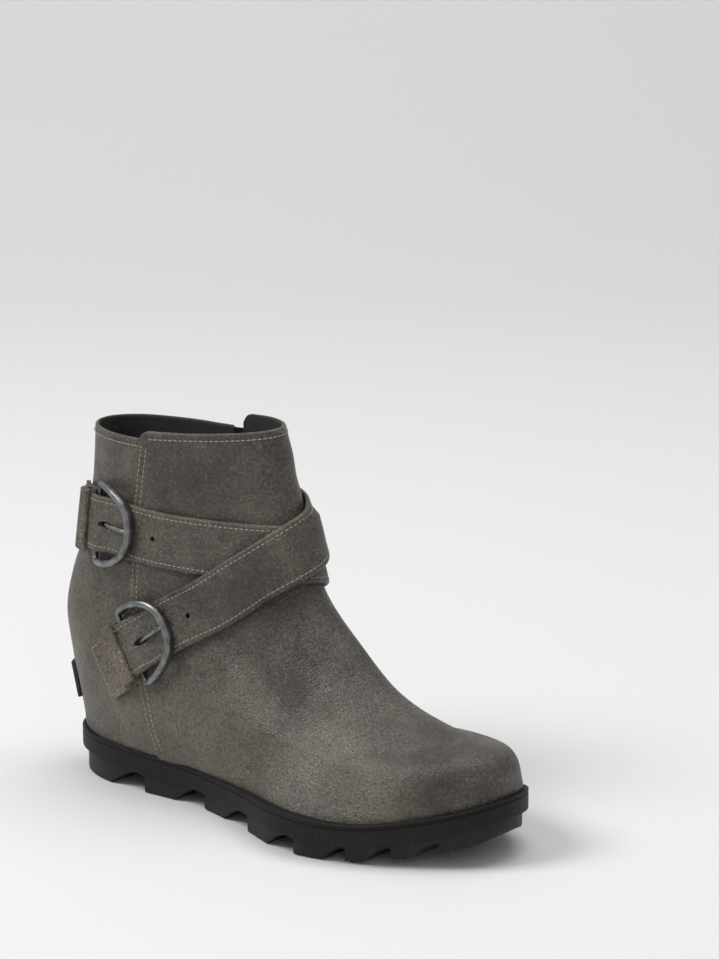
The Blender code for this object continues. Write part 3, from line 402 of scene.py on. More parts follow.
class Shader:
    """Small helper that adds nodes to one material and links them in order."""

    def __init__(self, name, roughness, metallic=0.0):
        self.material = bpy.data.materials.new(name)
        self.material.use_nodes = True
        self.tree = self.material.node_tree
        self.surface = self.tree.nodes["Principled BSDF"]
        self.surface.inputs["Roughness"].default_value = roughness
        self.surface.inputs["Metallic"].default_value = metallic
        self.place = self.tree.nodes.new("ShaderNodeTexCoord")

    def node(self, kind, inputs=None, **settings):
        made = self.tree.nodes.new(kind)
        for key, value in settings.items():
            setattr(made, key, value)
        for key, value in (inputs or {}).items():
            if isinstance(value, bpy.types.NodeSocket):
                self.tree.links.new(value, made.inputs[key])
            else:
                made.inputs[key].default_value = value
        return made

    def noise(self, scale, detail=4.0, rough=0.55, vector=None, distort=0.0):
        vector = vector or self.place.outputs["Object"]
        return self.node("ShaderNodeTexNoise", {"Vector": vector, "Scale": scale, "Detail": detail,
                                                "Roughness": rough, "Distortion": distort}).outputs["Fac"]

    def cells(self, scale, feature="DISTANCE_TO_EDGE", vector=None):
        vector = vector or self.place.outputs["Object"]
        made = self.node("ShaderNodeTexVoronoi", {"Vector": vector, "Scale": scale}, feature=feature)
        return made.outputs["Distance"]

    def ramp(self, value, low, high, start=0.0, end=1.0):
        """Value mapped so that low gives start and high gives end, and held there outside."""
        made = self.node("ShaderNodeMapRange", {"Value": value, "From Min": low, "From Max": high,
                                                "To Min": start, "To Max": end}, clamp=True)
        return made.outputs["Result"]

    def spots(self, places):
        """Soft patches: 1 at each centre, 0 at its radius, the largest of them taken."""
        total = None
        for x, y, z, radius in places:
            ends = {0: self.place.outputs["Object"], 1: (x * MM, y * MM, z * MM)}
            gap = self.node("ShaderNodeVectorMath", ends, operation="DISTANCE").outputs["Value"]
            patch = self.ramp(gap, 0.2 * radius * MM, radius * MM, 1.0, 0.0)
            total = patch if total is None else self.math("MAXIMUM", total, patch)
        return total

    def mix(self, share, first, second):
        made = self.node("ShaderNodeMix", data_type="RGBA")
        for socket, value in ((made.inputs[0], share), (made.inputs[6], first), (made.inputs[7], second)):
            if isinstance(value, bpy.types.NodeSocket):
                self.tree.links.new(value, socket)
            else:
                socket.default_value = (*value, 1) if isinstance(value, tuple) else value
        return made.outputs[2]

    def math(self, operation, first, second=0.0):
        return self.node("ShaderNodeMath", {0: first, 1: second}, operation=operation).outputs[0]

    def bump(self, height, distance, strength=1.0, under=None):
        made = self.node("ShaderNodeBump", {"Height": height, "Distance": distance, "Strength": strength})
        if under is not None:
            self.tree.links.new(under, made.inputs["Normal"])
        return made.outputs["Normal"]

    def finish(self, colour=None, normal=None, roughness=None):
        for socket, value in (("Base Color", colour), ("Normal", normal), ("Roughness", roughness)):
            if value is not None and isinstance(value, bpy.types.NodeSocket):
                self.tree.links.new(value, self.surface.inputs[socket])
            elif value is not None:
                self.surface.inputs[socket].default_value = (*value, 1)
        return self.material


# %% Leather with clouds, rubbed specks and grain
# Patches of the leather: centre and radius in millimetres. Wax is dark, rubbing shows the brown below.
RUBBED_SPOTS = ((30, -42, 45, 46), (72, -40, 42, 42), (104, -38, 66, 30), (148, -22, 44, 36),
                (188, -34, 30, 30), (-16, -20, 70, 36), (120, 36, 50, 45), (20, 40, 60, 45),
                (170, 10, 52, 26))
WAXED_SPOTS = ((66, -34, 158, 44), (92, -20, 112, 34), (128, -24, 70, 26), (200, -8, 50, 34),
               (216, -30, 34, 26), (30, 34, 150, 36), (94, 30, 60, 26))


def leather(name, dark, middle, light, speck=0.5, grain=0.00022, rough=(0.43, 0.62), grain_scale=620):
    """Colour from dark through middle to light by clouds; specks and scratches lighten it."""
    shader = Shader(name, rough[0])
    clouds = shader.ramp(shader.noise(17, 4, 0.5, distort=0.4), 0.34, 0.68)
    blotches = shader.ramp(shader.noise(60, 8, 0.72), 0.44, 0.70)
    rubbed, waxed = shader.spots(RUBBED_SPOTS), shader.spots(WAXED_SPOTS)
    colour = shader.mix(clouds, dark, middle)
    colour = shader.mix(shader.math("MULTIPLY", rubbed, 0.45), colour, light)
    colour = shader.mix(shader.math("MULTIPLY", waxed, 0.75), colour, tuple(c * 0.75 for c in dark))
    colour = shader.mix(shader.math("MULTIPLY", blotches, 0.35), colour, light)
    mottle = shader.ramp(shader.noise(620, 8, 0.85), 0.45, 0.62)
    bare = shader.math("SUBTRACT", 0.62, shader.math("MULTIPLY", waxed, 0.42))
    colour = shader.mix(shader.math("MULTIPLY", mottle, bare), colour, light)
    pits = shader.ramp(shader.noise(820, 5, 0.8), 0.40, 0.50, 1.0, 0.0)
    colour = shader.mix(shader.math("MULTIPLY", pits, 0.75), colour, tuple(c * 0.45 for c in dark))
    cells = shader.cells(grain_scale)
    fine = shader.noise(1500, 3, 0.6)
    dust = shader.ramp(shader.noise(780, 4, 0.7), 0.56, 0.72)
    dust = shader.math("MULTIPLY", dust, shader.ramp(shader.noise(60, 4, 0.6), 0.42, 0.64, 0.15, 1.0))
    colour = shader.mix(shader.math("MULTIPLY", dust, speck), colour, tuple(min(1, c * 1.9) for c in light))
    stretched = shader.node("ShaderNodeMapping", {"Vector": shader.place.outputs["Object"],
                                                  "Rotation": (0.2, 0.9, 0.5), "Scale": (1.0, 0.16, 1.0)})
    scratches = shader.ramp(shader.noise(420, 2, 0.5, stretched.outputs["Vector"]), 0.66, 0.74)
    colour = shader.mix(shader.math("MULTIPLY", scratches, 0.35), colour, light)
    pebble = shader.math("ADD", shader.ramp(cells, 0.0, 0.30), shader.math("MULTIPLY", fine, 0.7))
    normal = shader.bump(shader.noise(180, 4, 0.6), 0.0005, 0.35)
    normal = shader.bump(pebble, grain, 0.6, normal)
    roughness = shader.ramp(shader.noise(70, 4, 0.6), 0.35, 0.7, *rough)
    return shader.finish(colour, normal, roughness)


upper_leather = leather("waxed_leather", (0.024, 0.0212, 0.0175), (0.055, 0.0475, 0.038),
                        (0.168, 0.143, 0.110))
strap_leather = leather("strap_leather", (0.028, 0.0245, 0.020), (0.060, 0.052, 0.0415),
                        (0.175, 0.150, 0.117), 0.6)
keeper_leather = leather("raw_leather", (0.040, 0.034, 0.026), (0.088, 0.075, 0.058),
                         (0.225, 0.192, 0.150), 0.9, 0.0005, (0.8, 0.95), 420)

# %% Metal, thread, rubber and lining


def pewter(name, dark, light, rough):
    """Cast metal: brighter on worn spots, darker in clouds, with slight dents."""
    shader = Shader(name, rough, 1.0)
    tone = shader.ramp(shader.noise(240, 5, 0.6), 0.35, 0.7)
    normal = shader.bump(shader.noise(500, 3, 0.5), 0.0002, 0.3)
    roughness = shader.ramp(shader.noise(160, 4, 0.6), 0.3, 0.7, rough - 0.08, rough + 0.12)
    return shader.finish(shader.mix(tone, dark, light), normal, roughness)


def rubber(name, pattern=None):
    """Near black with a faint bloom; pattern is a height from the piece's own UV map, and its low grooves
    are also coloured darker as painted shade.
    """
    shader = Shader(name, 0.55)
    dust = shader.ramp(shader.noise(120, 5, 0.65), 0.45, 0.75)
    colour = shader.mix(dust, (0.0105, 0.0096, 0.0092), (0.021, 0.0192, 0.0183))
    shader.surface.inputs["Specular IOR Level"].default_value = 0.3
    normal = shader.bump(shader.noise(900, 3, 0.6), 0.0001, 0.35)
    if pattern is not None:
        relief = pattern(shader)
        normal = shader.bump(relief, 0.0007, 1.0, normal)
        # Painted shade: the pattern's low grooves are coloured much darker than the rubber, as shade in the
        # recesses.
        colour = shader.mix(relief, (0.0035, 0.0032, 0.0031), colour)
    return shader.finish(colour, normal)


def waffle(shader):
    """Grid of small pyramids: the lower of two saw waves, one along the band and one up it."""
    split = shader.node("ShaderNodeSeparateXYZ", {0: shader.place.outputs["UV"]})
    waves = []
    for axis, pitch in (("X", 1.15), ("Y", 1.15)):
        turns = shader.math("MULTIPLY", split.outputs[axis], 1000 / pitch)
        waves.append(shader.math("PINGPONG", turns, 0.5))
    grid = shader.math("MINIMUM", waves[0], waves[1])
    return shader.ramp(grid, 0.05, 0.3)


def plain(name, colour, rough, bump=0.0002, scale=700, metallic=0.0):
    shader = Shader(name, rough, metallic)
    tone = shader.ramp(shader.noise(scale / 5, 4, 0.6), 0.3, 0.7)
    mixed = shader.mix(tone, tuple(c * 0.8 for c in colour), tuple(min(1, c * 1.2) for c in colour))
    return shader.finish(mixed, shader.bump(shader.noise(scale, 3, 0.6), bump, 0.5))


ring_metal = pewter("aged_pewter", (0.125, 0.128, 0.130), (0.30, 0.305, 0.31), 0.42)
zip_metal = pewter("dark_gunmetal", (0.05, 0.05, 0.052), (0.13, 0.13, 0.135), 0.36)
band_rubber = rubber("band_rubber", waffle)
tread_rubber = rubber("tread_rubber")
thread = plain("pale_thread", (0.30, 0.26, 0.195), 0.85, 0.00015, 2500)
lining = plain("dark_lining", (0.028, 0.027, 0.026), 0.92, 0.0002, 1800)
footbed = plain("footbed_cloth", (0.034, 0.032, 0.030), 0.93, 0.0003, 1500)
coil_nylon = plain("coil_nylon", (0.012, 0.012, 0.013), 0.4, 0.0001, 900)
patch_skin = plain("bare_patch", (0.022, 0.020, 0.018), 0.5, 0.0003, 500)
print(len(bpy.data.materials), "finishes")

# %% [markdown]
# ## Stitches
# A stitch is a short bead of thread that dips into the leather at both ends. One bead is made as a
# template of a few dozen faces and then laid hundreds of times along a line, each turned to the
# leather's own direction. All beads of a row become one mesh, which is lighter than one object each.

# %% Rows of stitches


def stitch_row(points, normals, pitch=0.0026, length=0.0021, width=0.00062):
    """Beads at equal steps along a line: tangent, side and normal turn the template at each one."""
    steps = np.linalg.norm(np.diff(points, axis=0), axis=1)
    run = np.concatenate([[0], np.cumsum(steps)])
    at = np.arange(pitch / 2, run[-1], pitch)
    centre = np.stack([np.interp(at, run, points[:, n]) for n in range(3)], -1)
    ahead = np.stack([np.interp(at + length / 2, run, points[:, n]) for n in range(3)], -1)
    normal = unit(np.stack([np.interp(at, run, normals[:, n]) for n in range(3)], -1))
    tangent = unit(ahead - centre)
    side = unit(np.cross(normal, tangent))
    t = np.array([-1.0, -0.8, -0.3, 0.3, 0.8, 1.0])
    size = np.array([0.25, 0.8, 1.0, 1.0, 0.8, 0.25])
    turn = np.arange(6) * np.pi / 3
    along = np.repeat(t, 6) * length / 2
    across = np.outer(size, np.cos(turn)).ravel() * width / 2
    out = (np.outer(size, np.sin(turn)) - np.abs(t[:, None]) ** 3 * 0.9).ravel() * width / 2
    beads = (centre[:, None] + tangent[:, None] * along[:, None] + side[:, None] * across[:, None]
             + normal[:, None] * (out[:, None] + width * 0.12))
    faces = np.concatenate([grid_faces(6, 6, wrap=True)])
    caps = [[5, 4, 3, 2, 1, 0], [30, 31, 32, 33, 34, 35]]
    offsets = np.arange(len(beads)) * 36
    quads = (faces[None] + offsets[:, None, None]).reshape(-1, 4).tolist()
    ends = (np.array(caps)[None] + offsets[:, None, None]).reshape(-1, 6).tolist()
    return beads.reshape(-1, 3), quads + ends


def stitches(name, rows, body="boot", slot="leather"):
    """Joins several rows of beads into one piece of thread."""
    points, faces, count = [], [], 0
    for row_points, row_faces in rows:
        points.append(row_points)
        faces += [[v + count for v in face] for face in row_faces]
        count += len(row_points)
    return finish_piece(mesh_piece(name, np.concatenate(points), faces), thread, body, slot)


# %% [markdown]
# ## The upper
# The upper is two leathers: a back panel and a front panel that overlaps it in a lapped seam on the
# outer side and meets the zip on the inner side. Where leather folds with the foot it keeps soft
# troughs. They are placed here one by one, each as a bell-shaped dent along a short slanted line.

# %% Columns and rows of the fine grid
SEAM_ZONE, EDGE_ZONE, RADIUS_THERE = 0.011, 0.011, 0.055
SEAM_ROWS, RIM_ROW, SLOT_GROOVE, SLOT_ROWS = (0.0024, 0.0054), 0.0034, 0.0026, (0.0028, 0.0085)
LAP_STEP, GROOVE_DEPTH, RIM_ROUND, SLOT_ROUND, CORNER_ROUND = 0.0011, 0.00022, 0.0010, 0.0007, 0.0042
ZONES = (34, 26, 62, 56, 12, 12, 34)
FRONT_EDGE_ZONE = 4
row_share = np.concatenate([np.linspace(0, 0.03, 7)[:-1], np.linspace(0.03, 0.97, 118),
                            0.97 + 0.03 * np.sin(np.linspace(0, np.pi / 2, 15))[1:]])


def zone_angles(rise):
    """Key angles at each point's own rise: heel, both sides of the seam, toe, slot and heel again."""
    seam = seam_angle(rise)
    front_edge, back_edge = slot_angle(rise, 1), slot_angle(rise, -1)
    zero = np.zeros_like(rise)
    seam_zone, edge_zone = SEAM_ZONE / RADIUS_THERE, EDGE_ZONE / RADIUS_THERE
    return np.stack([zero, seam - seam_zone, seam + seam_zone, zero + np.pi, front_edge - edge_zone,
                     front_edge, back_edge, back_edge + edge_zone, zero + 2 * np.pi])


def column_places():
    """Zone number and share within it for every column; the slot between two zones has no column."""
    starts = (0, 1, 2, 3, 4, 6, 7)
    zone, share = [], []
    for start, count in zip(starts, ZONES):
        ends_on_edge = start == FRONT_EDGE_ZONE
        zone.append(np.full(count + ends_on_edge, start))
        share.append(np.linspace(0, 1, count + ends_on_edge) if ends_on_edge
                     else np.linspace(0, 1, count, endpoint=False))
    return np.concatenate(zone), np.concatenate(share)


column_zone, column_share = column_places()


def fine_angles(rise):
    keys = zone_angles(rise)
    zone = np.broadcast_to(column_zone, rise.shape)
    low = np.take_along_axis(keys, zone[None], 0)[0]
    high = np.take_along_axis(keys, zone[None] + 1, 0)[0]
    return low + (high - low) * column_share


seam_start = sum(ZONES[:1]) + ZONES[1] // 2
slot_column = int(np.nonzero(column_zone == FRONT_EDGE_ZONE)[0][-1])
columns = len(column_zone)
top_rise = np.ones(columns)
for _ in range(3):
    top_angle = fine_angles(top_rise)
    degrees = np.degrees(top_angle)
    is_front = (np.arange(columns) >= seam_start) & (np.arange(columns) <= slot_column)
    wrapped = np.where(degrees > 200, degrees - 360, degrees)
    rim = np.where(is_front, rim_height(degrees, True), rim_height(wrapped, False))
    from_seam, from_slot = np.abs(np.arange(columns) - seam_start), np.abs(np.arange(columns) - slot_column)
    from_corner = np.minimum(from_seam, from_slot)
    rounding = CORNER_ROUND * np.clip(1 - from_corner / 5, 0, 1) ** 2.2
    top_rise = rise_at(top_angle, rim - np.where(is_front, rounding, 0))
rises = row_share[:, None] * top_rise[None, :]
angles = fine_angles(rises)
print("upper grid", rises.shape, "slot column", slot_column)

# %% Creases, lapped seam and turned edges
# Columns: place along the sole and height of the crease's middle, its slope in degrees, half length,
# half width and depth, all but the slope in millimetres, and the side (-1 outer, 1 inner, 0 both).
CREASES = (
    (128, 66, -42, 26, 5.5, 1.1, 0),
    (118, 78, -38, 22, 5.0, 0.8, 0),
    (142, 58, -34, 24, 6.0, 0.7, 0),
    (100, 62, -30, 22, 6.5, 0.8, -1),
    (84, 50, -20, 24, 7.0, 0.7, -1),
    (96, 74, -46, 18, 5.0, 0.7, -1),
    (168, 47, -26, 20, 7.5, 0.6, -1),
    (186, 44, -20, 16, 7.0, 0.5, 1),
    (100, 58, -30, 24, 7.0, 0.9, 1),
    (84, 84, -50, 20, 5.5, 0.7, 1),
    (30, 92, 12, 20, 6.0, 0.7, -1),
    (24, 104, 8, 18, 5.0, 0.5, 1),
    (104, 160, -6, 20, 5.0, 0.5, 0),
    (60, 158, 80, 14, 6.0, 0.4, -1),
)
base = upper_point(angles, rises)
_, _, normals, speed = upper_frame(angles, rises)
height_along = base[..., 2]
seam_gap = (angles - seam_angle(rises)) * speed
front_gap = (slot_angle(rises, 1) - angles) * speed
back_gap = (angles - slot_angle(rises, -1)) * speed
slot_foot = FRONT_HEIGHT - ZIP_LENGTH


def crease_relief(points):
    """Sum of troughs: a bell across each line times a bell along it, with a low ridge beside it."""
    relief = np.zeros(points.shape[:-1])
    for x, z, slope, long, wide, depth, side in CREASES:
        turn = np.radians(slope)
        dx, dz = points[..., 0] + HEEL_REST - x * MM, points[..., 2] - z * MM
        along = dx * np.cos(turn) + dz * np.sin(turn)
        across = -dx * np.sin(turn) + dz * np.cos(turn) + 6 * along**2
        trough = hump(across, 0, wide * MM) - 0.45 * hump(across, 2.1 * wide * MM, wide * MM)
        reach = np.exp(-((along / (long * MM)) ** 4))
        here = 1.0 if side == 0 else smooth_step(side * points[..., 1], -0.004, 0.012)
        relief -= depth * MM * trough * reach * here
    return relief


def lap_relief(gap):
    """The front panel's edge: a rounded step up at the seam that fades out over the panel."""
    step = LAP_STEP * smooth_step(gap, -0.0003, 0.0007) * (1 - smooth_step(gap, 0.006, 0.024))
    tuck = -0.0003 * hump(gap, -0.0006, 0.0009)
    rows = -GROOVE_DEPTH * sum(hump(gap, row, 0.0006) for row in SEAM_ROWS)
    return step + tuck + rows


to_rim = rim[None, :] - height_along
near_slot = np.where(is_front[None, :], front_gap, back_gap)
beside_slot = smooth_step(height_along, slot_foot - 0.012, slot_foot + 0.004)
relief = crease_relief(base)
relief += lap_relief(seam_gap) * smooth_step(rises, 0.0, 0.03)
relief -= GROOVE_DEPTH * hump(to_rim, RIM_ROW, 0.0007) * np.where(is_front[None, :], 1, 0.7)
relief -= GROOVE_DEPTH * hump(near_slot, SLOT_GROOVE, 0.0007) * beside_slot
relief += 0.0004 * (1 - smooth_step(near_slot, 0.0, 0.012)) * beside_slot
relief += 0.0005 * hump(rises, 0.030, 0.016) - 0.0006 * hump(rises, 0.0, 0.012)
edge_round = RIM_ROUND * (1 - np.sqrt(1 - np.clip(1 - to_rim / RIM_ROUND, 0, 1) ** 2))
slot_round = SLOT_ROUND * (1 - np.sqrt(1 - np.clip(1 - near_slot / SLOT_ROUND, 0, 1) ** 2)) * beside_slot
outer = base + normals * (relief - edge_round - slot_round)[..., None]
inner = base - normals * (WALL - edge_round * 0.8)[..., None]
inner[0, :, 2], inner[-1, :, 2] = outer[0, :, 2], outer[-1, :, 2]

# %% Skin of the upper with its lining
keep = np.ones((len(row_share) - 1, columns), bool)
first_open = int(np.argmax(height_along[:-1, slot_column] > slot_foot))
keep[first_open:, slot_column] = False
points, faces = slab(outer, inner, wrap=True, keep=keep)
upper_skin = mesh_piece("upper_skin", points, faces, sharp=55)
finish_piece(upper_skin, upper_leather, "boot", "leather", "upper")
upper_skin.data.materials.append(lining)
face_corners = np.zeros(len(upper_skin.data.loops), np.int32)
upper_skin.data.loops.foreach_get("vertex_index", face_corners)
inside = face_corners.reshape(-1, 4).min(1) >= rises.size
upper_skin.data.polygons.foreach_set("material_index", inside.astype(np.int32))
print("upper thickness grid", inside.sum(), "lining faces")

# %% Stitches of the upper


def line_on_upper(angle, rise, lift=0.0):
    """Points and normals of a line drawn on the upper's fine face."""
    point = upper_point(angle, rise)
    normal = upper_frame(angle, rise)[2]
    gap = (angle - seam_angle(rise)) * upper_frame(angle, rise)[3]
    rise_of_face = crease_relief(point) + lap_relief(gap) + lift
    return point + normal * rise_of_face[..., None], normal


def seam_stitches(offset):
    rise = np.linspace(0.02, float(top_rise[seam_start]) - 0.012, 260)
    angle = seam_angle(rise)
    angle = angle + offset / upper_frame(angle, rise)[3]
    return stitch_row(*line_on_upper(angle, rise))


def rim_stitches(start, end, front):
    degrees = np.linspace(start, end, 200)
    angle = np.radians(degrees)
    rise = rise_at(angle, rim_height(degrees, front) - RIM_ROW)
    return stitch_row(*line_on_upper(angle, rise))


def slot_stitches(offset, side):
    low = float(rise_at(slot_angle(0.4, side), slot_foot))
    rise = np.linspace(low, float(top_rise[slot_column]) - 0.018, 200)
    angle = slot_angle(rise, side)
    angle = angle - side * offset / upper_frame(angle, rise)[3]
    return stitch_row(*line_on_upper(angle, rise, 0.0003))


seam_degrees = float(np.degrees(seam_angle(1.0)))
slot_degrees = [float(np.degrees(slot_angle(1.0, side))) for side in (1, -1)]
stitches("upper_stitches", [
    *(seam_stitches(row) for row in SEAM_ROWS),
    rim_stitches(seam_degrees + 4.5, slot_degrees[0] - 4.5, True),
    rim_stitches(slot_degrees[1] - 360 + 3, seam_degrees - 1, False),
    slot_stitches(SLOT_ROWS[0], 1), slot_stitches(SLOT_ROWS[0], -1), slot_stitches(SLOT_ROWS[1], 1),
])

# %% [markdown]
# ## The sole
# The sole is a band that cradles the upper and a tread of slanted lugs under it. The band's side has a
# fine waffle, which is only a millimetre deep and so becomes bump, while its lip, the lugs and their
# concave arches are real shape. Small ribs on each lug's foot are real too, because they show in outline.

# %% Band of the sole
LOOP_COUNT = 384
loop_angles = np.arange(LOOP_COUNT) * 2 * np.pi / LOOP_COUNT
loop_shares = (1 - np.cos(loop_angles)) / 2


def outline(angle, margin=0.0):
    """The ring on the sole, pushed out square to itself by a margin."""

    def place(a):
        share = (1 - np.cos(a)) / 2
        return np.stack([share * SOLE_LENGTH, half_width(a, np.zeros_like(a)) + TOE_SWING * share**2.5], -1)

    along = place(angle + 0.004) - place(angle - 0.004)
    return place(angle) + unit(np.stack([along[..., 1], -along[..., 0]], -1)) * margin


def plan_loop(margin, surface, lift=0.0):
    plan = outline(loop_angles, margin)
    height = surface(plan[:, 0] / SOLE_LENGTH) + lift
    return np.column_stack([plan[:, 0] - HEEL_REST, plan[:, 1], height])


def fitted_loop(height, out=FIT_GAP * 1.4):
    rise = rise_at(loop_angles, height)
    point = upper_point(loop_angles, rise)
    flat = upper_frame(loop_angles, rise)[2][:, :2]
    return np.column_stack([point[:, :2] + unit(flat) * out, np.broadcast_to(height, len(point))])


def stacked(loops):
    """Loops joined in order, the first and the last filled by ladders from side to side."""
    loops = np.asarray(loops)
    size = loops.shape[1]
    faces = grid_faces(len(loops), size, wrap=True).tolist()
    j = np.arange(size // 2)
    ladder = np.stack([j, (size - j) % size, (size - j - 1) % size, j + 1], -1)
    last = (len(loops) - 1) * size
    for rungs in (ladder, last + ladder[:, ::-1]):
        faces += [list(dict.fromkeys(rung)) for rung in rungs.tolist()]
    return loops.reshape(-1, 3), faces


profile = [(-0.9, 0.0), (-0.35, 0.05), (-0.1, 0.25), (0, 0.6)]
loops = [plan_loop(BAND_OVERHANG + a * MM, band_bottom, b * MM) for a, b in profile]
loops += [plan_loop(BAND_OVERHANG, band_bottom, BAND_HEIGHT * t) for t in np.linspace(0.09, 0.74, 8)]
groove = [(-0.35, 0.78), (-0.35, 0.81), (0.0, 0.85), (0.02, 0.93), (-0.25, 0.975), (-0.75, 1.0), (-1.3, 1.0)]
loops += [plan_loop(BAND_OVERHANG + a * MM, band_bottom, BAND_HEIGHT * t) for a, t in groove]
loops += [fitted_loop(band_top(loop_shares) - 0.0001, 0.0009), fitted_loop(band_top(loop_shares) - 0.0006)]
loops += [fitted_loop(platform_height(loop_shares))]
loops.append(loops[-1] - [0, 0, FIT_GAP])
run = np.concatenate([[0], np.cumsum(np.linalg.norm(np.diff(loops[5], axis=0), axis=1))])
heights = np.array([[(loop - loops[0])[:, 2].mean()] for loop in loops])
uv = np.stack(np.broadcast_arrays(run[None, :], heights), -1)
points, faces = stacked(loops)
finish_piece(mesh_piece("midsole_band", points, faces, uv, 50), band_rubber, "boot", "rubber", "midsole")

# %% Tread with its lugs


def lug_height(share):
    """Arches cut across the sole: each climbs as a sine and drops a little before the next lug."""
    height = np.zeros_like(share)
    for start, wall, depth in LUG_CUTS:
        t = (share - start) / (wall - start)
        arch = np.sin(np.pi / 2 * np.clip(t / 0.78, 0, 1)) - 0.12 * smooth_step(t, 0.78, 1.0)
        height = np.where((t > 0) & (t < 1), LUG_DEPTH * depth * arch, height)
    heel_round = 0.0045 * np.clip(1 - share / 0.022, 0, 1) ** 2
    toe_round = 0.0035 * np.clip((share - 0.975) / 0.025, 0, 1) ** 2
    return height + heel_round + toe_round


def tread_stations():
    """Fine steps everywhere, with a double step at each lug's upright wall."""
    fine = np.linspace(0.0, 1.0, 440)
    fine = np.concatenate([fine, 0.5 - 0.5 * np.cos(np.linspace(0, np.pi, 60))])
    walls = np.array([[wall - 0.0005, wall - 1e-6, wall + 1e-6, wall + 0.002] for _, wall, _ in LUG_CUTS])
    starts = np.array([[start - 0.002, start, start + 0.002] for start, _, _ in LUG_CUTS])
    return np.unique(np.concatenate([fine, walls.ravel(), starts.ravel()]))


RIB_DEPTH, RIB_PITCH, LUG_ROUND = 0.0004, 0.0024, 0.0012
share = tread_stations()
lift = lug_height(share)
ribs = RIB_DEPTH * np.abs(np.sin(np.pi * share * SOLE_LENGTH / RIB_PITCH))
foot = spring(share) + lift + ribs * (1 - smooth_step(lift, 0.0002, 0.0012)) * (share > 0.03)
roof = band_bottom(share) - FIT_GAP
turn = np.arccos(np.clip(1 - 2 * share, -1, 1))
middle = TOE_SWING * share**2.5
left = np.minimum(outline(turn)[:, 1], middle - 0.0022)
right = np.maximum(outline(2 * np.pi - turn)[:, 1], middle + 0.0022)
corner = [(0.0, 1.0), (0.12, 0.55), (0.45, 0.15), (1.0, 0.0)]
ring = [(left, roof), (left, roof * 0.5 + foot * 0.5)]
ring += [(left + a * LUG_ROUND, foot + b * LUG_ROUND) for a, b in corner]
ring += [(left + (right - left) * t, foot) for t in (0.2, 0.4, 0.6, 0.8)]
ring += [(right - a * LUG_ROUND, foot + b * LUG_ROUND) for a, b in corner[::-1]]
ring += [(right, roof * 0.5 + foot * 0.5), (right, roof)]
x = share * SOLE_LENGTH - HEEL_REST
rings = np.stack([np.stack([x, y, z], -1) for y, z in ring], 1)
points, faces = tube(rings)
finish_piece(mesh_piece("tread", points, faces, sharp=40), tread_rubber, "boot", "rubber", "outsole")

# %% [markdown]
# ## Straps
# Each strap is a flat band of leather that starts under its buckle, wraps the ankle and ends at the
# zip. A strap keeps its own coordinates: along, across and out from the upper. Its cross-section, a
# flat oblong with rounded cut edges, is carried along the path. The strap that lies on top is lifted
# where it crosses the other one.

# %% Coordinates along a strap


class StrapPath:
    """Frame along a strap: distance from its buckle end, distance across it and height off the upper."""

    def __init__(self, line):
        degrees, heights = zip(*line)
        knots = np.radians(degrees)
        self.angles = np.linspace(knots[0], knots[-1], 241)
        self.rises = rise_at(self.angles, BACK_HEIGHT * curve(knots, heights, self.angles))
        points = upper_point(self.angles, self.rises)
        self.lengths = np.concatenate([[0], np.cumsum(np.linalg.norm(np.diff(points, axis=0), axis=1))])
        self.length = self.lengths[-1]

    def middle(self, along):
        angle = np.interp(along, self.lengths, self.angles)
        return upper_point(angle, np.interp(along, self.lengths, self.rises))

    def foot(self, along, across):
        """Angle and rise under a place: step sideways from the middle line, then down to the face."""
        along, across = np.broadcast_arrays(np.asarray(along, float), np.asarray(across, float))
        angle = np.interp(along, self.lengths, self.angles)
        rise = np.interp(along, self.lengths, self.rises)
        way = unit(self.middle(np.clip(along + 0.002, 0, self.length))
                   - self.middle(np.clip(along - 0.002, 0, self.length)))
        side = unit(np.cross(upper_frame(angle, rise)[2], way))
        over = np.minimum(along, 0) + np.maximum(along - self.length, 0)
        target = upper_point(angle, rise) + side * across[..., None] + way * over[..., None]
        return foot_on_upper(target, angle, rise)

    def bridge(self, along, across):
        """How far the strap stands off a hollow of the upper that its width spans."""
        angle, rise = self.foot(along, across)
        edge = STRAP_WIDTH / 2
        low, high = upper_point(*self.foot(along, -edge)), upper_point(*self.foot(along, edge))
        blend = np.clip((across / edge + 1) / 2, 0, 1)[..., None]
        chord = low + (high - low) * blend - upper_point(angle, rise)
        gap = (chord * upper_frame(angle, rise)[2]).sum(-1)
        return np.maximum(gap, 0) * 1.1 + FACET_ROOM

    def place(self, along, across, out):
        """Point and outward normal at a place on the strap."""
        along, across, out = np.broadcast_arrays(*[np.asarray(v, float) for v in (along, across, out)])
        angle, rise = self.foot(along, across)
        normal = upper_frame(angle, rise)[2]
        height = out + self.bridge(along, across)
        return upper_point(angle, rise) + normal * height[..., None], normal

    def point(self, along, across, out):
        return self.place(along, across, out)[0]

    def cover(self, angle, rise):
        """Distance inside this strap's width, and its bridge, for places on the upper."""
        centre = upper_point(self.angles, self.rises)
        points = upper_point(angle, rise)
        gaps = np.linalg.norm(points[..., None, :] - centre, axis=-1)
        nearest = gaps.argmin(-1)
        side = np.sign(points[..., 2] - centre[nearest][..., 2])
        across = np.clip(side * gaps.min(-1), -STRAP_WIDTH / 2, STRAP_WIDTH / 2)
        return STRAP_WIDTH / 2 - gaps.min(-1), self.bridge(self.lengths[nearest], across)


upper_path, lower_path = StrapPath(UPPER_STRAP_LINE), StrapPath(LOWER_STRAP_LINE)
print("strap lengths", round(upper_path.length, 3), round(lower_path.length, 3))

# %% Bands of the straps


def tail_height(along):
    """Raised over the buckle's hidden bar, then down to the upper."""
    return FIT_GAP + TAIL_LIFT * (1 - smooth_step(along, BAR_PLACE + 0.002, BAR_PLACE + 0.0135))


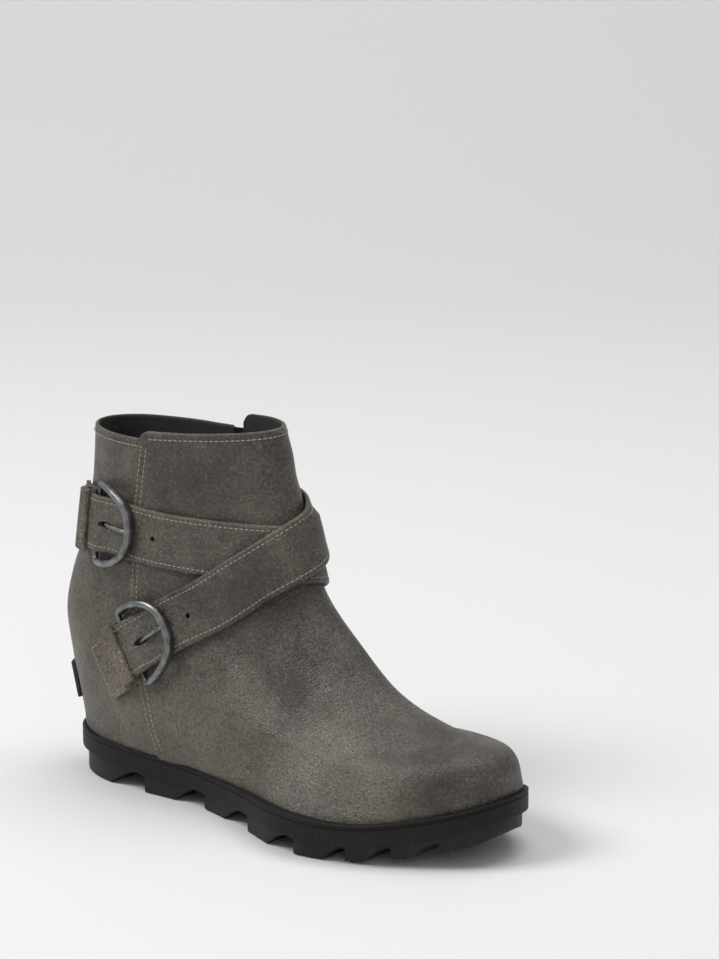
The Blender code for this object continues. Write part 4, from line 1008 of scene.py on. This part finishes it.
def strap_height(path, under, along, across):
    """Height of the strap's underside, with its lift over the strap below."""
    height = tail_height(along)
    if under is not None:
        inside, bridge = under.cover(*path.foot(along, across))
        lift = STRAP_THICKNESS + 2 * FIT_GAP + np.maximum(bridge - path.bridge(along, across), 0) * 1.15
        height = height + smooth_step(inside, -0.0125, -0.0045) * lift
    return height


# Section of a strap: place across in shares of its width and height in shares of its thickness. The
# dips at 0.40 are the grooves that the stitches lie in.
SECTION = ((-0.5, 0.5), (-0.485, 0.80), (-0.465, 0.95), (-0.44, 1.0), (-0.415, 0.985), (-0.40, 0.93),
           (-0.385, 0.985), (-0.34, 1.0), (-0.2, 1.02), (0.0, 1.03), (0.2, 1.02), (0.34, 1.0),
           (0.385, 0.985), (0.40, 0.93), (0.415, 0.985), (0.44, 1.0), (0.465, 0.95), (0.485, 0.80),
           (0.5, 0.5), (0.485, 0.12), (0.45, 0.0), (0.2, 0.0), (-0.2, 0.0), (-0.45, 0.0), (-0.485, 0.12))
STITCH_SIDE = 0.40 * STRAP_WIDTH


def make_strap(name, path, under):
    """Cross-section carried along the path; its first and last rings shrink to rounded ends."""
    ends = np.array([0.0, 0.0002, 0.0006, 0.0012])
    stations = np.concatenate([TAIL_END + ends, np.linspace(TAIL_END + 0.002, path.length - 0.002, 150),
                               path.length - ends[::-1]])
    trim = np.clip(np.minimum(stations - TAIL_END, path.length - stations) / 0.0012, 0, 1)
    trim = np.sqrt(1 - (1 - trim) ** 2)
    section = np.array(SECTION)
    across = section[:, 0] * (STRAP_WIDTH - 0.0012 * (1 - trim[:, None]))
    out = (0.5 + (section[:, 1] - 0.5) * (0.35 + 0.65 * trim[:, None])) * STRAP_THICKNESS
    along = np.broadcast_to(stations[:, None], across.shape)
    height = strap_height(path, under, along, across)
    points, faces = tube(path.point(along, across, height + out))
    band = mesh_piece(name, points, faces, sharp=60)
    return band


def punched(band, path, places):
    """Holes through the band: upright oval rods are cut out of it, and the modifier is applied."""
    turn = np.arange(20) * np.pi / 10
    for n, (along, long, wide) in enumerate(places):
        levels = np.array([-0.002, 0.011])[:, None]
        oval = path.point(along + long / 2 * np.cos(turn), wide / 2 * np.sin(turn), levels)
        rod = outward(mesh_piece("hole_rod", *tube(oval)))
        cut = band.modifiers.new("hole", "BOOLEAN")
        cut.operation, cut.solver, cut.object = "DIFFERENCE", "EXACT", rod
        shape = bpy.data.meshes.new_from_object(band.evaluated_get(bpy.context.evaluated_depsgraph_get()))
        band.modifiers.clear()
        band.data = shape
        bpy.data.objects.remove(rod, do_unlink=True)
    band.data.set_sharp_from_angle(angle=np.radians(60))
    return band


def strap_stitches(path, under, side, start=0.001, end=-0.003):
    along = np.linspace(TAIL_END + start, path.length + end, 240)
    across = np.full(along.shape, side)
    height = strap_height(path, under, along, across) + STRAP_THICKNESS * 0.94
    return stitch_row(*path.place(along, across, height))


def end_stitches(path, under, inset):
    across = np.linspace(-STITCH_SIDE, STITCH_SIDE, 40)
    along = np.full(across.shape, path.length - inset)
    height = strap_height(path, under, along, across) + STRAP_THICKNESS * 0.99
    return stitch_row(*path.place(along, across, height))


for name, path, under in (("upper", upper_path, None), ("lower", lower_path, upper_path)):
    band = outward(make_strap(name + "_strap_band", path, under))
    pin_hole = (BAR_PLACE + HOLE_PLACE, HOLE_LENGTH, HOLE_WIDTH)
    spare = (BAR_PLACE + RING_DEPTH + 0.0125, 0.0026, 0.0026)
    punched(band, path, [pin_hole, spare])
    finish_piece(band, strap_leather, "boot", "leather", name + "_strap")
    rows = [strap_stitches(path, under, side) for side in (-STITCH_SIDE, STITCH_SIDE)]
    rows += [end_stitches(path, under, inset) for inset in ((0.003,) if under else (0.003, 0.006))]
    stitches(name + "_strap_stitches", rows)

# %% [markdown]
# ## Buckles and keepers
# Each buckle is a cast D ring. Its straight bar is hidden under the strap's tail, its curved bar lies
# on top, and a pin reaches up through the strap. Behind it a loop of raw leather is sewn to the
# boot. The ring is a rounded section carried round a closed path in the strap's own coordinates.

# %% D rings and pins


def ring_line(count=96):
    """Straight bar at along 0, then a bow whose ends meet it at a right angle."""
    half = RING_HEIGHT / 2
    bar = [(0.0, y) for y in np.linspace(-half * 0.86, half * 0.86, 14)]
    turn = np.linspace(np.pi / 2, -np.pi / 2, count)
    cosine, sine = np.cos(turn), np.sin(turn)
    along = RING_DEPTH * (0.12 + 0.88 * np.clip(cosine, 0, 1) ** 0.86)
    across = half * np.sign(sine) * np.abs(sine) ** 0.8
    bow = np.column_stack([along, across]).tolist()
    return np.array(bar + [(RING_DEPTH * 0.03, half * 0.97)] + bow + [(RING_DEPTH * 0.03, -half * 0.97)])


def make_ring(name, path):
    """Rounded oblong section; it climbs from under the strap to over it as it leaves the bar."""
    line = ring_line()
    share = np.clip(line[:, 0] / RING_DEPTH, 0, 1)
    low = FIT_GAP + HIDDEN_BAR / 2 + 0.0002
    high = 2 * FIT_GAP + STRAP_THICKNESS + RING_THICKNESS / 2
    height = low + (high - low) * smooth_step(share, -0.1, 0.75)
    bulk = smooth_step(share, -0.02, 0.16)
    width = HIDDEN_BAR + (RING_WIDTH - HIDDEN_BAR) * bulk
    depth = HIDDEN_BAR + (RING_THICKNESS - HIDDEN_BAR) * bulk
    way = np.roll(line, -1, axis=0) - np.roll(line, 1, axis=0)
    way /= np.linalg.norm(way, axis=1, keepdims=True)
    turn = (np.arange(20) + 0.5) * np.pi / 10
    across = np.sign(np.cos(turn)) * np.abs(np.cos(turn)) ** 0.7 * width[:, None] / 2
    out = np.sign(np.sin(turn)) * np.abs(np.sin(turn)) ** 0.7 * depth[:, None] / 2
    rings = path.point(BAR_PLACE + line[:, :1] + way[:, 1:] * across, line[:, 1:] - way[:, :1] * across,
                       height[:, None] + out)
    return mesh_piece(name, *tube(rings, closed=True), sharp=60)


def make_prong(name, path):
    """Round pin whose thickness tapers at its tip."""
    at = np.linspace(0.075, 0.9, 22)
    knots = [0.075, 0.19, 0.34, 0.49, 0.7, 0.9]
    height = curve(knots, [0.0017, 0.0019, 0.0032, 0.0043, 0.0043, 0.0043], at)
    radius = curve(knots, np.array([0.8, 0.9, 1.0, 1.0, 1.0, 0.8]) * PRONG_THICKNESS / 2, at)
    radius = radius * np.sqrt(np.clip((0.9 - at) / 0.03, 0.12, 1))
    turn = (np.arange(14) + 0.5) * np.pi / 7
    out = height[:, None] + radius[:, None] * 0.8 * np.sin(turn)
    along = BAR_PLACE + at[:, None] * RING_DEPTH
    return mesh_piece(name, *tube(path.point(along, radius[:, None] * np.cos(turn), out)))


for name, path in (("upper", upper_path), ("lower", lower_path)):
    finish_piece(make_ring(name + "_ring", path), ring_metal, "boot", "pewter", name + "_buckle")
    finish_piece(make_prong(name + "_pin", path), ring_metal, "boot", "pewter", name + "_prong")

# %% Raw leather keepers


def make_keeper(name, path):
    """Profile of the folded loop in along and out, carried across with rough, slightly wavy edges."""
    edge = BAR_PLACE - HIDDEN_BAR / 2 - 2 * FIT_GAP
    tail = TAIL_END - FIT_GAP
    rear, step = edge - KEEPER_LENGTH, 0.002
    under = FIT_GAP + TAIL_LIFT
    over = under + STRAP_THICKNESS + FIT_GAP
    crest = FIT_GAP + KEEPER_THICKNESS
    ledge = np.linspace(edge, tail, 6)
    profile = [(place, FIT_GAP) for place in np.linspace(rear, edge, 12)]
    profile += [(place, under - FIT_GAP) for place in ledge]
    profile += [(place, over) for place in ledge[::-1]]
    profile += [(edge + 0.0002, over + KEEPER_THICKNESS * 0.5)]
    profile += [(place, over + KEEPER_THICKNESS) for place in ledge[:1] - 0.0005]
    profile += [(place, over + KEEPER_THICKNESS) for place in ledge[1:]]
    profile += [(tail - step, over + KEEPER_THICKNESS * 0.75), (tail - 1.7 * step, over - 0.0008),
                (tail - 2.4 * step, crest + KEEPER_THICKNESS * 0.55), (tail - 3.0 * step, crest + 0.0003)]
    profile += [(place, crest) for place in np.linspace(tail - 3.8 * step, rear + 0.0008, 6)]
    profile += [(rear, FIT_GAP + KEEPER_THICKNESS * 0.6)]
    along, out = np.array(profile).T
    sides = np.concatenate([[-0.5, -0.495, -0.48], np.linspace(-0.45, 0.45, 26), [0.48, 0.495, 0.5]])
    middle_out = out.mean()
    fray = 0.0004 * np.sin(sides * 23) * np.sin(sides * 41 + 1)
    shrink = np.clip((0.5 - np.abs(sides)) / 0.02, 0, 1)
    shrink = 0.75 + 0.25 * np.sqrt(1 - (1 - shrink) ** 2)
    far = (along > tail + 0.004) | (along < rear + 0.001)
    place = along[None, :] + np.where(far[None, :], fray[:, None], 0)
    level = middle_out + (out[None, :] - middle_out) * shrink[:, None]
    level = np.where(out[None, :] > crest, level, out[None, :])
    rings = path.point(place, sides[:, None] * (STRAP_WIDTH + 0.003), level)
    return mesh_piece(name, *tube(rings), sharp=60)


def keeper_stitches(path):
    """A row down each side and one across the far end, where the loop is sewn to the boot."""
    side, far, near = STRAP_WIDTH / 2 - 0.0008, -0.0015, TAIL_END - 0.0085
    edge = np.linspace(far, near, 30)
    lines = [(edge, np.full(30, -side)), (edge, np.full(30, side)),
             (np.full(60, far), np.linspace(-side, side, 60))]
    return [stitch_row(*path.place(along, across, FIT_GAP + KEEPER_THICKNESS)) for along, across in lines]


for name, path in (("upper", upper_path), ("lower", lower_path)):
    loop = make_keeper(name + "_keeper_loop", path)
    finish_piece(loop, keeper_leather, "boot", "raw_leather", name + "_keeper")
    stitches(name + "_keeper_stitches", keeper_stitches(path), slot="raw_leather")

# %% [markdown]
# ## Zip
# A coil zip is two rows of nylon loops that hook into each other. Each loop is a small bead laid
# across the zip at a steady pitch, left and right rows half a pitch apart. The slider, its pull and
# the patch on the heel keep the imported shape; a copy with merged points takes a small bevel, because
# cast and punched edges are never knife sharp.

# %% Tape and coil


def zip_line(height):
    """Rise on the zip's middle line at a height."""
    rise = np.full(np.shape(height), 0.6)
    for _ in range(8):
        rise = rise_at(angle_at(ZIP_PLACE, rise, inner=True), height)
    return rise


coil_low, coil_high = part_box("zip_coil")
heights = np.linspace(coil_low.z, coil_high.z, 70)
rises_on_zip = zip_line(heights)
across = np.linspace(-1, 1, 9) * (ZIP_SLOT / 2 - FIT_GAP * 1.5)
tape_angle = angle_at(ZIP_PLACE + across[None, :], rises_on_zip[:, None], inner=True)
tape_rise = np.broadcast_to(rises_on_zip[:, None], tape_angle.shape)
tape_point, tape_normal = upper_point(tape_angle, tape_rise), upper_frame(tape_angle, tape_rise)[2]
sunk = -0.0016 + 0.0004 * np.abs(across / across.max())
tape = slab(tape_point + tape_normal * sunk[:, None], tape_point - tape_normal * 0.0022)
finish_piece(mesh_piece("zip_tape", *tape), coil_nylon, "boot", "zip", "zip_coil")


def coil_row(side, shift, pitch=0.00155):
    """Beads across the zip, each reaching from its own tape over the middle."""
    at = np.arange(coil_low.z + 0.0012 + shift * pitch, coil_high.z - 0.0008, pitch)
    rise = zip_line(at)
    angle = angle_at(ZIP_PLACE + side * 0.00085, rise, inner=True)
    round_way, up_way, normal, _ = upper_frame(angle, rise)
    centre = upper_point(angle, rise) - normal * 0.0009
    turn, ring = np.arange(8) * np.pi / 4, np.linspace(-1, 1, 6)
    size = np.sqrt(np.clip(1.03 - ring**2, 0.04, 1))
    along = np.repeat(ring, 8) * 0.0016
    lift = np.outer(size, np.sin(turn)).ravel() * 0.0006
    up = np.outer(size, np.cos(turn)).ravel() * 0.00052
    beads = (centre[:, None] + round_way[:, None] * along[:, None] + normal[:, None] * lift[:, None]
             + up_way[:, None] * (up[:, None] + side * along[:, None] * 0.25))
    offsets = np.arange(len(beads)) * 48
    quads = (grid_faces(6, 8, wrap=True)[None] + offsets[:, None, None]).reshape(-1, 4).tolist()
    caps = np.array([list(range(8))[::-1], list(range(40, 48))])
    return beads.reshape(-1, 3), quads + (caps[None] + offsets[:, None, None]).reshape(-1, 8).tolist()


left_row, right_row = coil_row(-1, 0.0), coil_row(1, 0.5)
count = len(left_row[0])
coil_faces = left_row[1] + [[v + count for v in face] for face in right_row[1]]
teeth = mesh_piece("zip_teeth", np.concatenate([left_row[0], right_row[0]]), coil_faces)
finish_piece(teeth, coil_nylon, "boot", "zip")

# %% Slider, pull, tab and heel patch with softened edges


def softened(node, name, material, body, slot, bevel, segments=3):
    """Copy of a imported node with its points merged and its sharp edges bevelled."""
    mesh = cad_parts[node].data.copy()
    shape = bmesh.new()
    shape.from_mesh(mesh)
    bmesh.ops.remove_doubles(shape, verts=shape.verts, dist=0.00001)
    bmesh.ops.dissolve_limit(shape, angle_limit=0.03, verts=shape.verts, edges=shape.edges)
    shape.to_mesh(mesh)
    shape.free()
    piece = bpy.data.objects.new(name, mesh)
    bpy.context.scene.collection.objects.link(piece)
    mesh.shade_smooth()
    soft = piece.modifiers.new("soft_edges", "BEVEL")
    soft.width, soft.segments = bevel, segments
    soft.limit_method, soft.angle_limit = "ANGLE", np.radians(35)
    soft.harden_normals = True
    return finish_piece(piece, material, body, slot, node)


softened("zip_slider", "slider_body", zip_metal, "boot", "zip_metal", 0.0004)
softened("zip_pull", "slider_pull", zip_metal, "pull", "zip_metal", 0.0003)
softened("zip_tab", "pull_tab", strap_leather, "pull", "leather", 0.0006)
softened("heel_patch", "patch_plate", patch_skin, "boot", "patch", 0.0006)


def tab_stitches():
    """Two rows down the tab's outer face, where the folded leather is sewn to itself."""
    points = vertex_array(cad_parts["zip_tab"].data)
    middle = points.mean(0)
    values, axes = np.linalg.eigh(np.cov((points - middle).T))
    out, wide, long = axes[:, 0], axes[:, 1], axes[:, 2]
    out = out * np.sign(out[1])
    half_long = np.abs((points - middle) @ long).max()
    half_wide = np.abs((points - middle) @ wide).max()
    thick = np.abs((points - middle) @ out).max()
    along = np.linspace(-half_long + 0.003, half_long - 0.0015, 60)
    rows = []
    for side in (-1, 1):
        line = middle + long * along[:, None] + wide * side * (half_wide - 0.0014) + out * (thick - 0.00012)
        rows.append(stitch_row(line, np.broadcast_to(out, line.shape), 0.0024, 0.0018, 0.0005))
    return rows


stitches("tab_stitches", tab_stitches(), "pull")

# %% Footbed inside
softened("insole", "footbed_top", footbed, "boot", "footbed", 0.0004, 2)

# %% [markdown]
# ## Floor, light and camera
# The boot stands on a pale floor that bends up into a backdrop, so that no horizon shows. Large soft
# lights from the upper left and the right give the broad gleams on the toe and a faint shadow.

# %% Floor and backdrop
CAMERA_AZIMUTH = 40.0
FLOOR_FRONT, BEND_START, BEND_RADIUS, BACKDROP_TOP, BACKDROP_HALF = -4.0, 1.2, 1.4, 6.0, 6.0
bend_turn = np.linspace(0.05, np.pi / 2, 16)
bend_line = np.array([BEND_START, BEND_RADIUS]) + BEND_RADIUS * np.column_stack([np.sin(bend_turn),
                                                                                 -np.cos(bend_turn)])
bend = np.concatenate([[[FLOOR_FRONT, 0.0], [BEND_START, 0.0]], bend_line,
                       [[BEND_START + BEND_RADIUS, BACKDROP_TOP]]])
azimuth = np.radians(CAMERA_AZIMUTH)
away = np.array([-np.sin(azimuth), np.cos(azimuth)])
side_way = np.array([np.cos(azimuth), np.sin(azimuth)])
spans = (-BACKDROP_HALF, BACKDROP_HALF)
sheet = np.array([[[*(away * d + side_way * s), z] for s in spans] for d, z in bend])
backdrop = mesh_piece("backdrop", sheet.reshape(-1, 3), grid_faces(len(bend), 2))
wall = Shader("pale_floor", 0.9)
split = wall.node("ShaderNodeSeparateXYZ", {0: wall.place.outputs["Object"]})
# Painted light: the sheet's colour runs from grey on the floor to near white 1.2 m up, so the backdrop looks
# more brightly lit than the floor.
tone = wall.ramp(split.outputs["Z"], 0.0, 1.2)
backdrop.data.materials.append(wall.finish(wall.mix(tone, (0.74, 0.74, 0.74), (0.97, 0.97, 0.97))))

# %% Lights and world
scene = bpy.context.scene
scene.view_settings.view_transform = "Standard"
world = bpy.data.worlds.new("studio")
world.use_nodes = True
world.node_tree.nodes["Background"].inputs[0].default_value = (1.0, 1.0, 1.0, 1)
world.node_tree.nodes["Background"].inputs[1].default_value = 0.38
scene.world = world


def soft_light(name, place, size, power, target=(0.08, 0.0, 0.07)):
    """Square area light that faces the boot."""
    lamp = bpy.data.lights.new(name, "AREA")
    lamp.shape, lamp.size, lamp.energy = "SQUARE", size, power
    made = bpy.data.objects.new(name, lamp)
    made.location = place
    made.rotation_euler = (Vector(target) - Vector(place)).to_track_quat("-Z", "Y").to_euler()
    scene.collection.objects.link(made)
    return made


soft_light("key", (-0.9, -1.2, 1.9), 1.0, 37)
soft_light("fill", (1.7, -1.5, 1.1), 1.6, 5)
soft_light("top", (0.3, 0.5, 2.2), 1.4, 20)

# %% Camera at the photograph's angle
CAMERA_DISTANCE, CAMERA_HEIGHT_ANGLE = 1.7548, 16.3
AIM_TURN, AIM_TILT, FOCAL_PIXELS = -1.1, -2.6, 3700.2


def camera_matrix():
    """Stands back from the boot along its azimuth and height angle, then turns by the aim angles."""
    azimuth, height = np.radians([CAMERA_AZIMUTH, CAMERA_HEIGHT_ANGLE])
    back = np.array([np.sin(azimuth) * np.cos(height), -np.cos(azimuth) * np.cos(height), np.sin(height)])
    place = np.array([0.125 - HEEL_REST, 0.0, 0.080]) + back * CAMERA_DISTANCE
    azimuth, height = np.radians([CAMERA_AZIMUTH + AIM_TURN, CAMERA_HEIGHT_ANGLE + AIM_TILT])
    out = np.array([np.sin(azimuth) * np.cos(height), -np.cos(azimuth) * np.cos(height), np.sin(height)])
    right = unit(np.cross(-out, [0, 0, 1]))
    up = np.cross(out, right)
    matrix = np.eye(4)
    matrix[:3, 0], matrix[:3, 1], matrix[:3, 2], matrix[:3, 3] = right, up, out, place
    return Matrix(matrix.tolist())


lens = bpy.data.cameras.new("camera")
lens.sensor_fit, lens.sensor_width, lens.lens = "HORIZONTAL", 36.0, FOCAL_PIXELS / 719 * 36.0
camera = bpy.data.objects.new("camera", lens)
camera.matrix_world = camera_matrix()
scene.collection.objects.link(camera)
scene.camera = camera
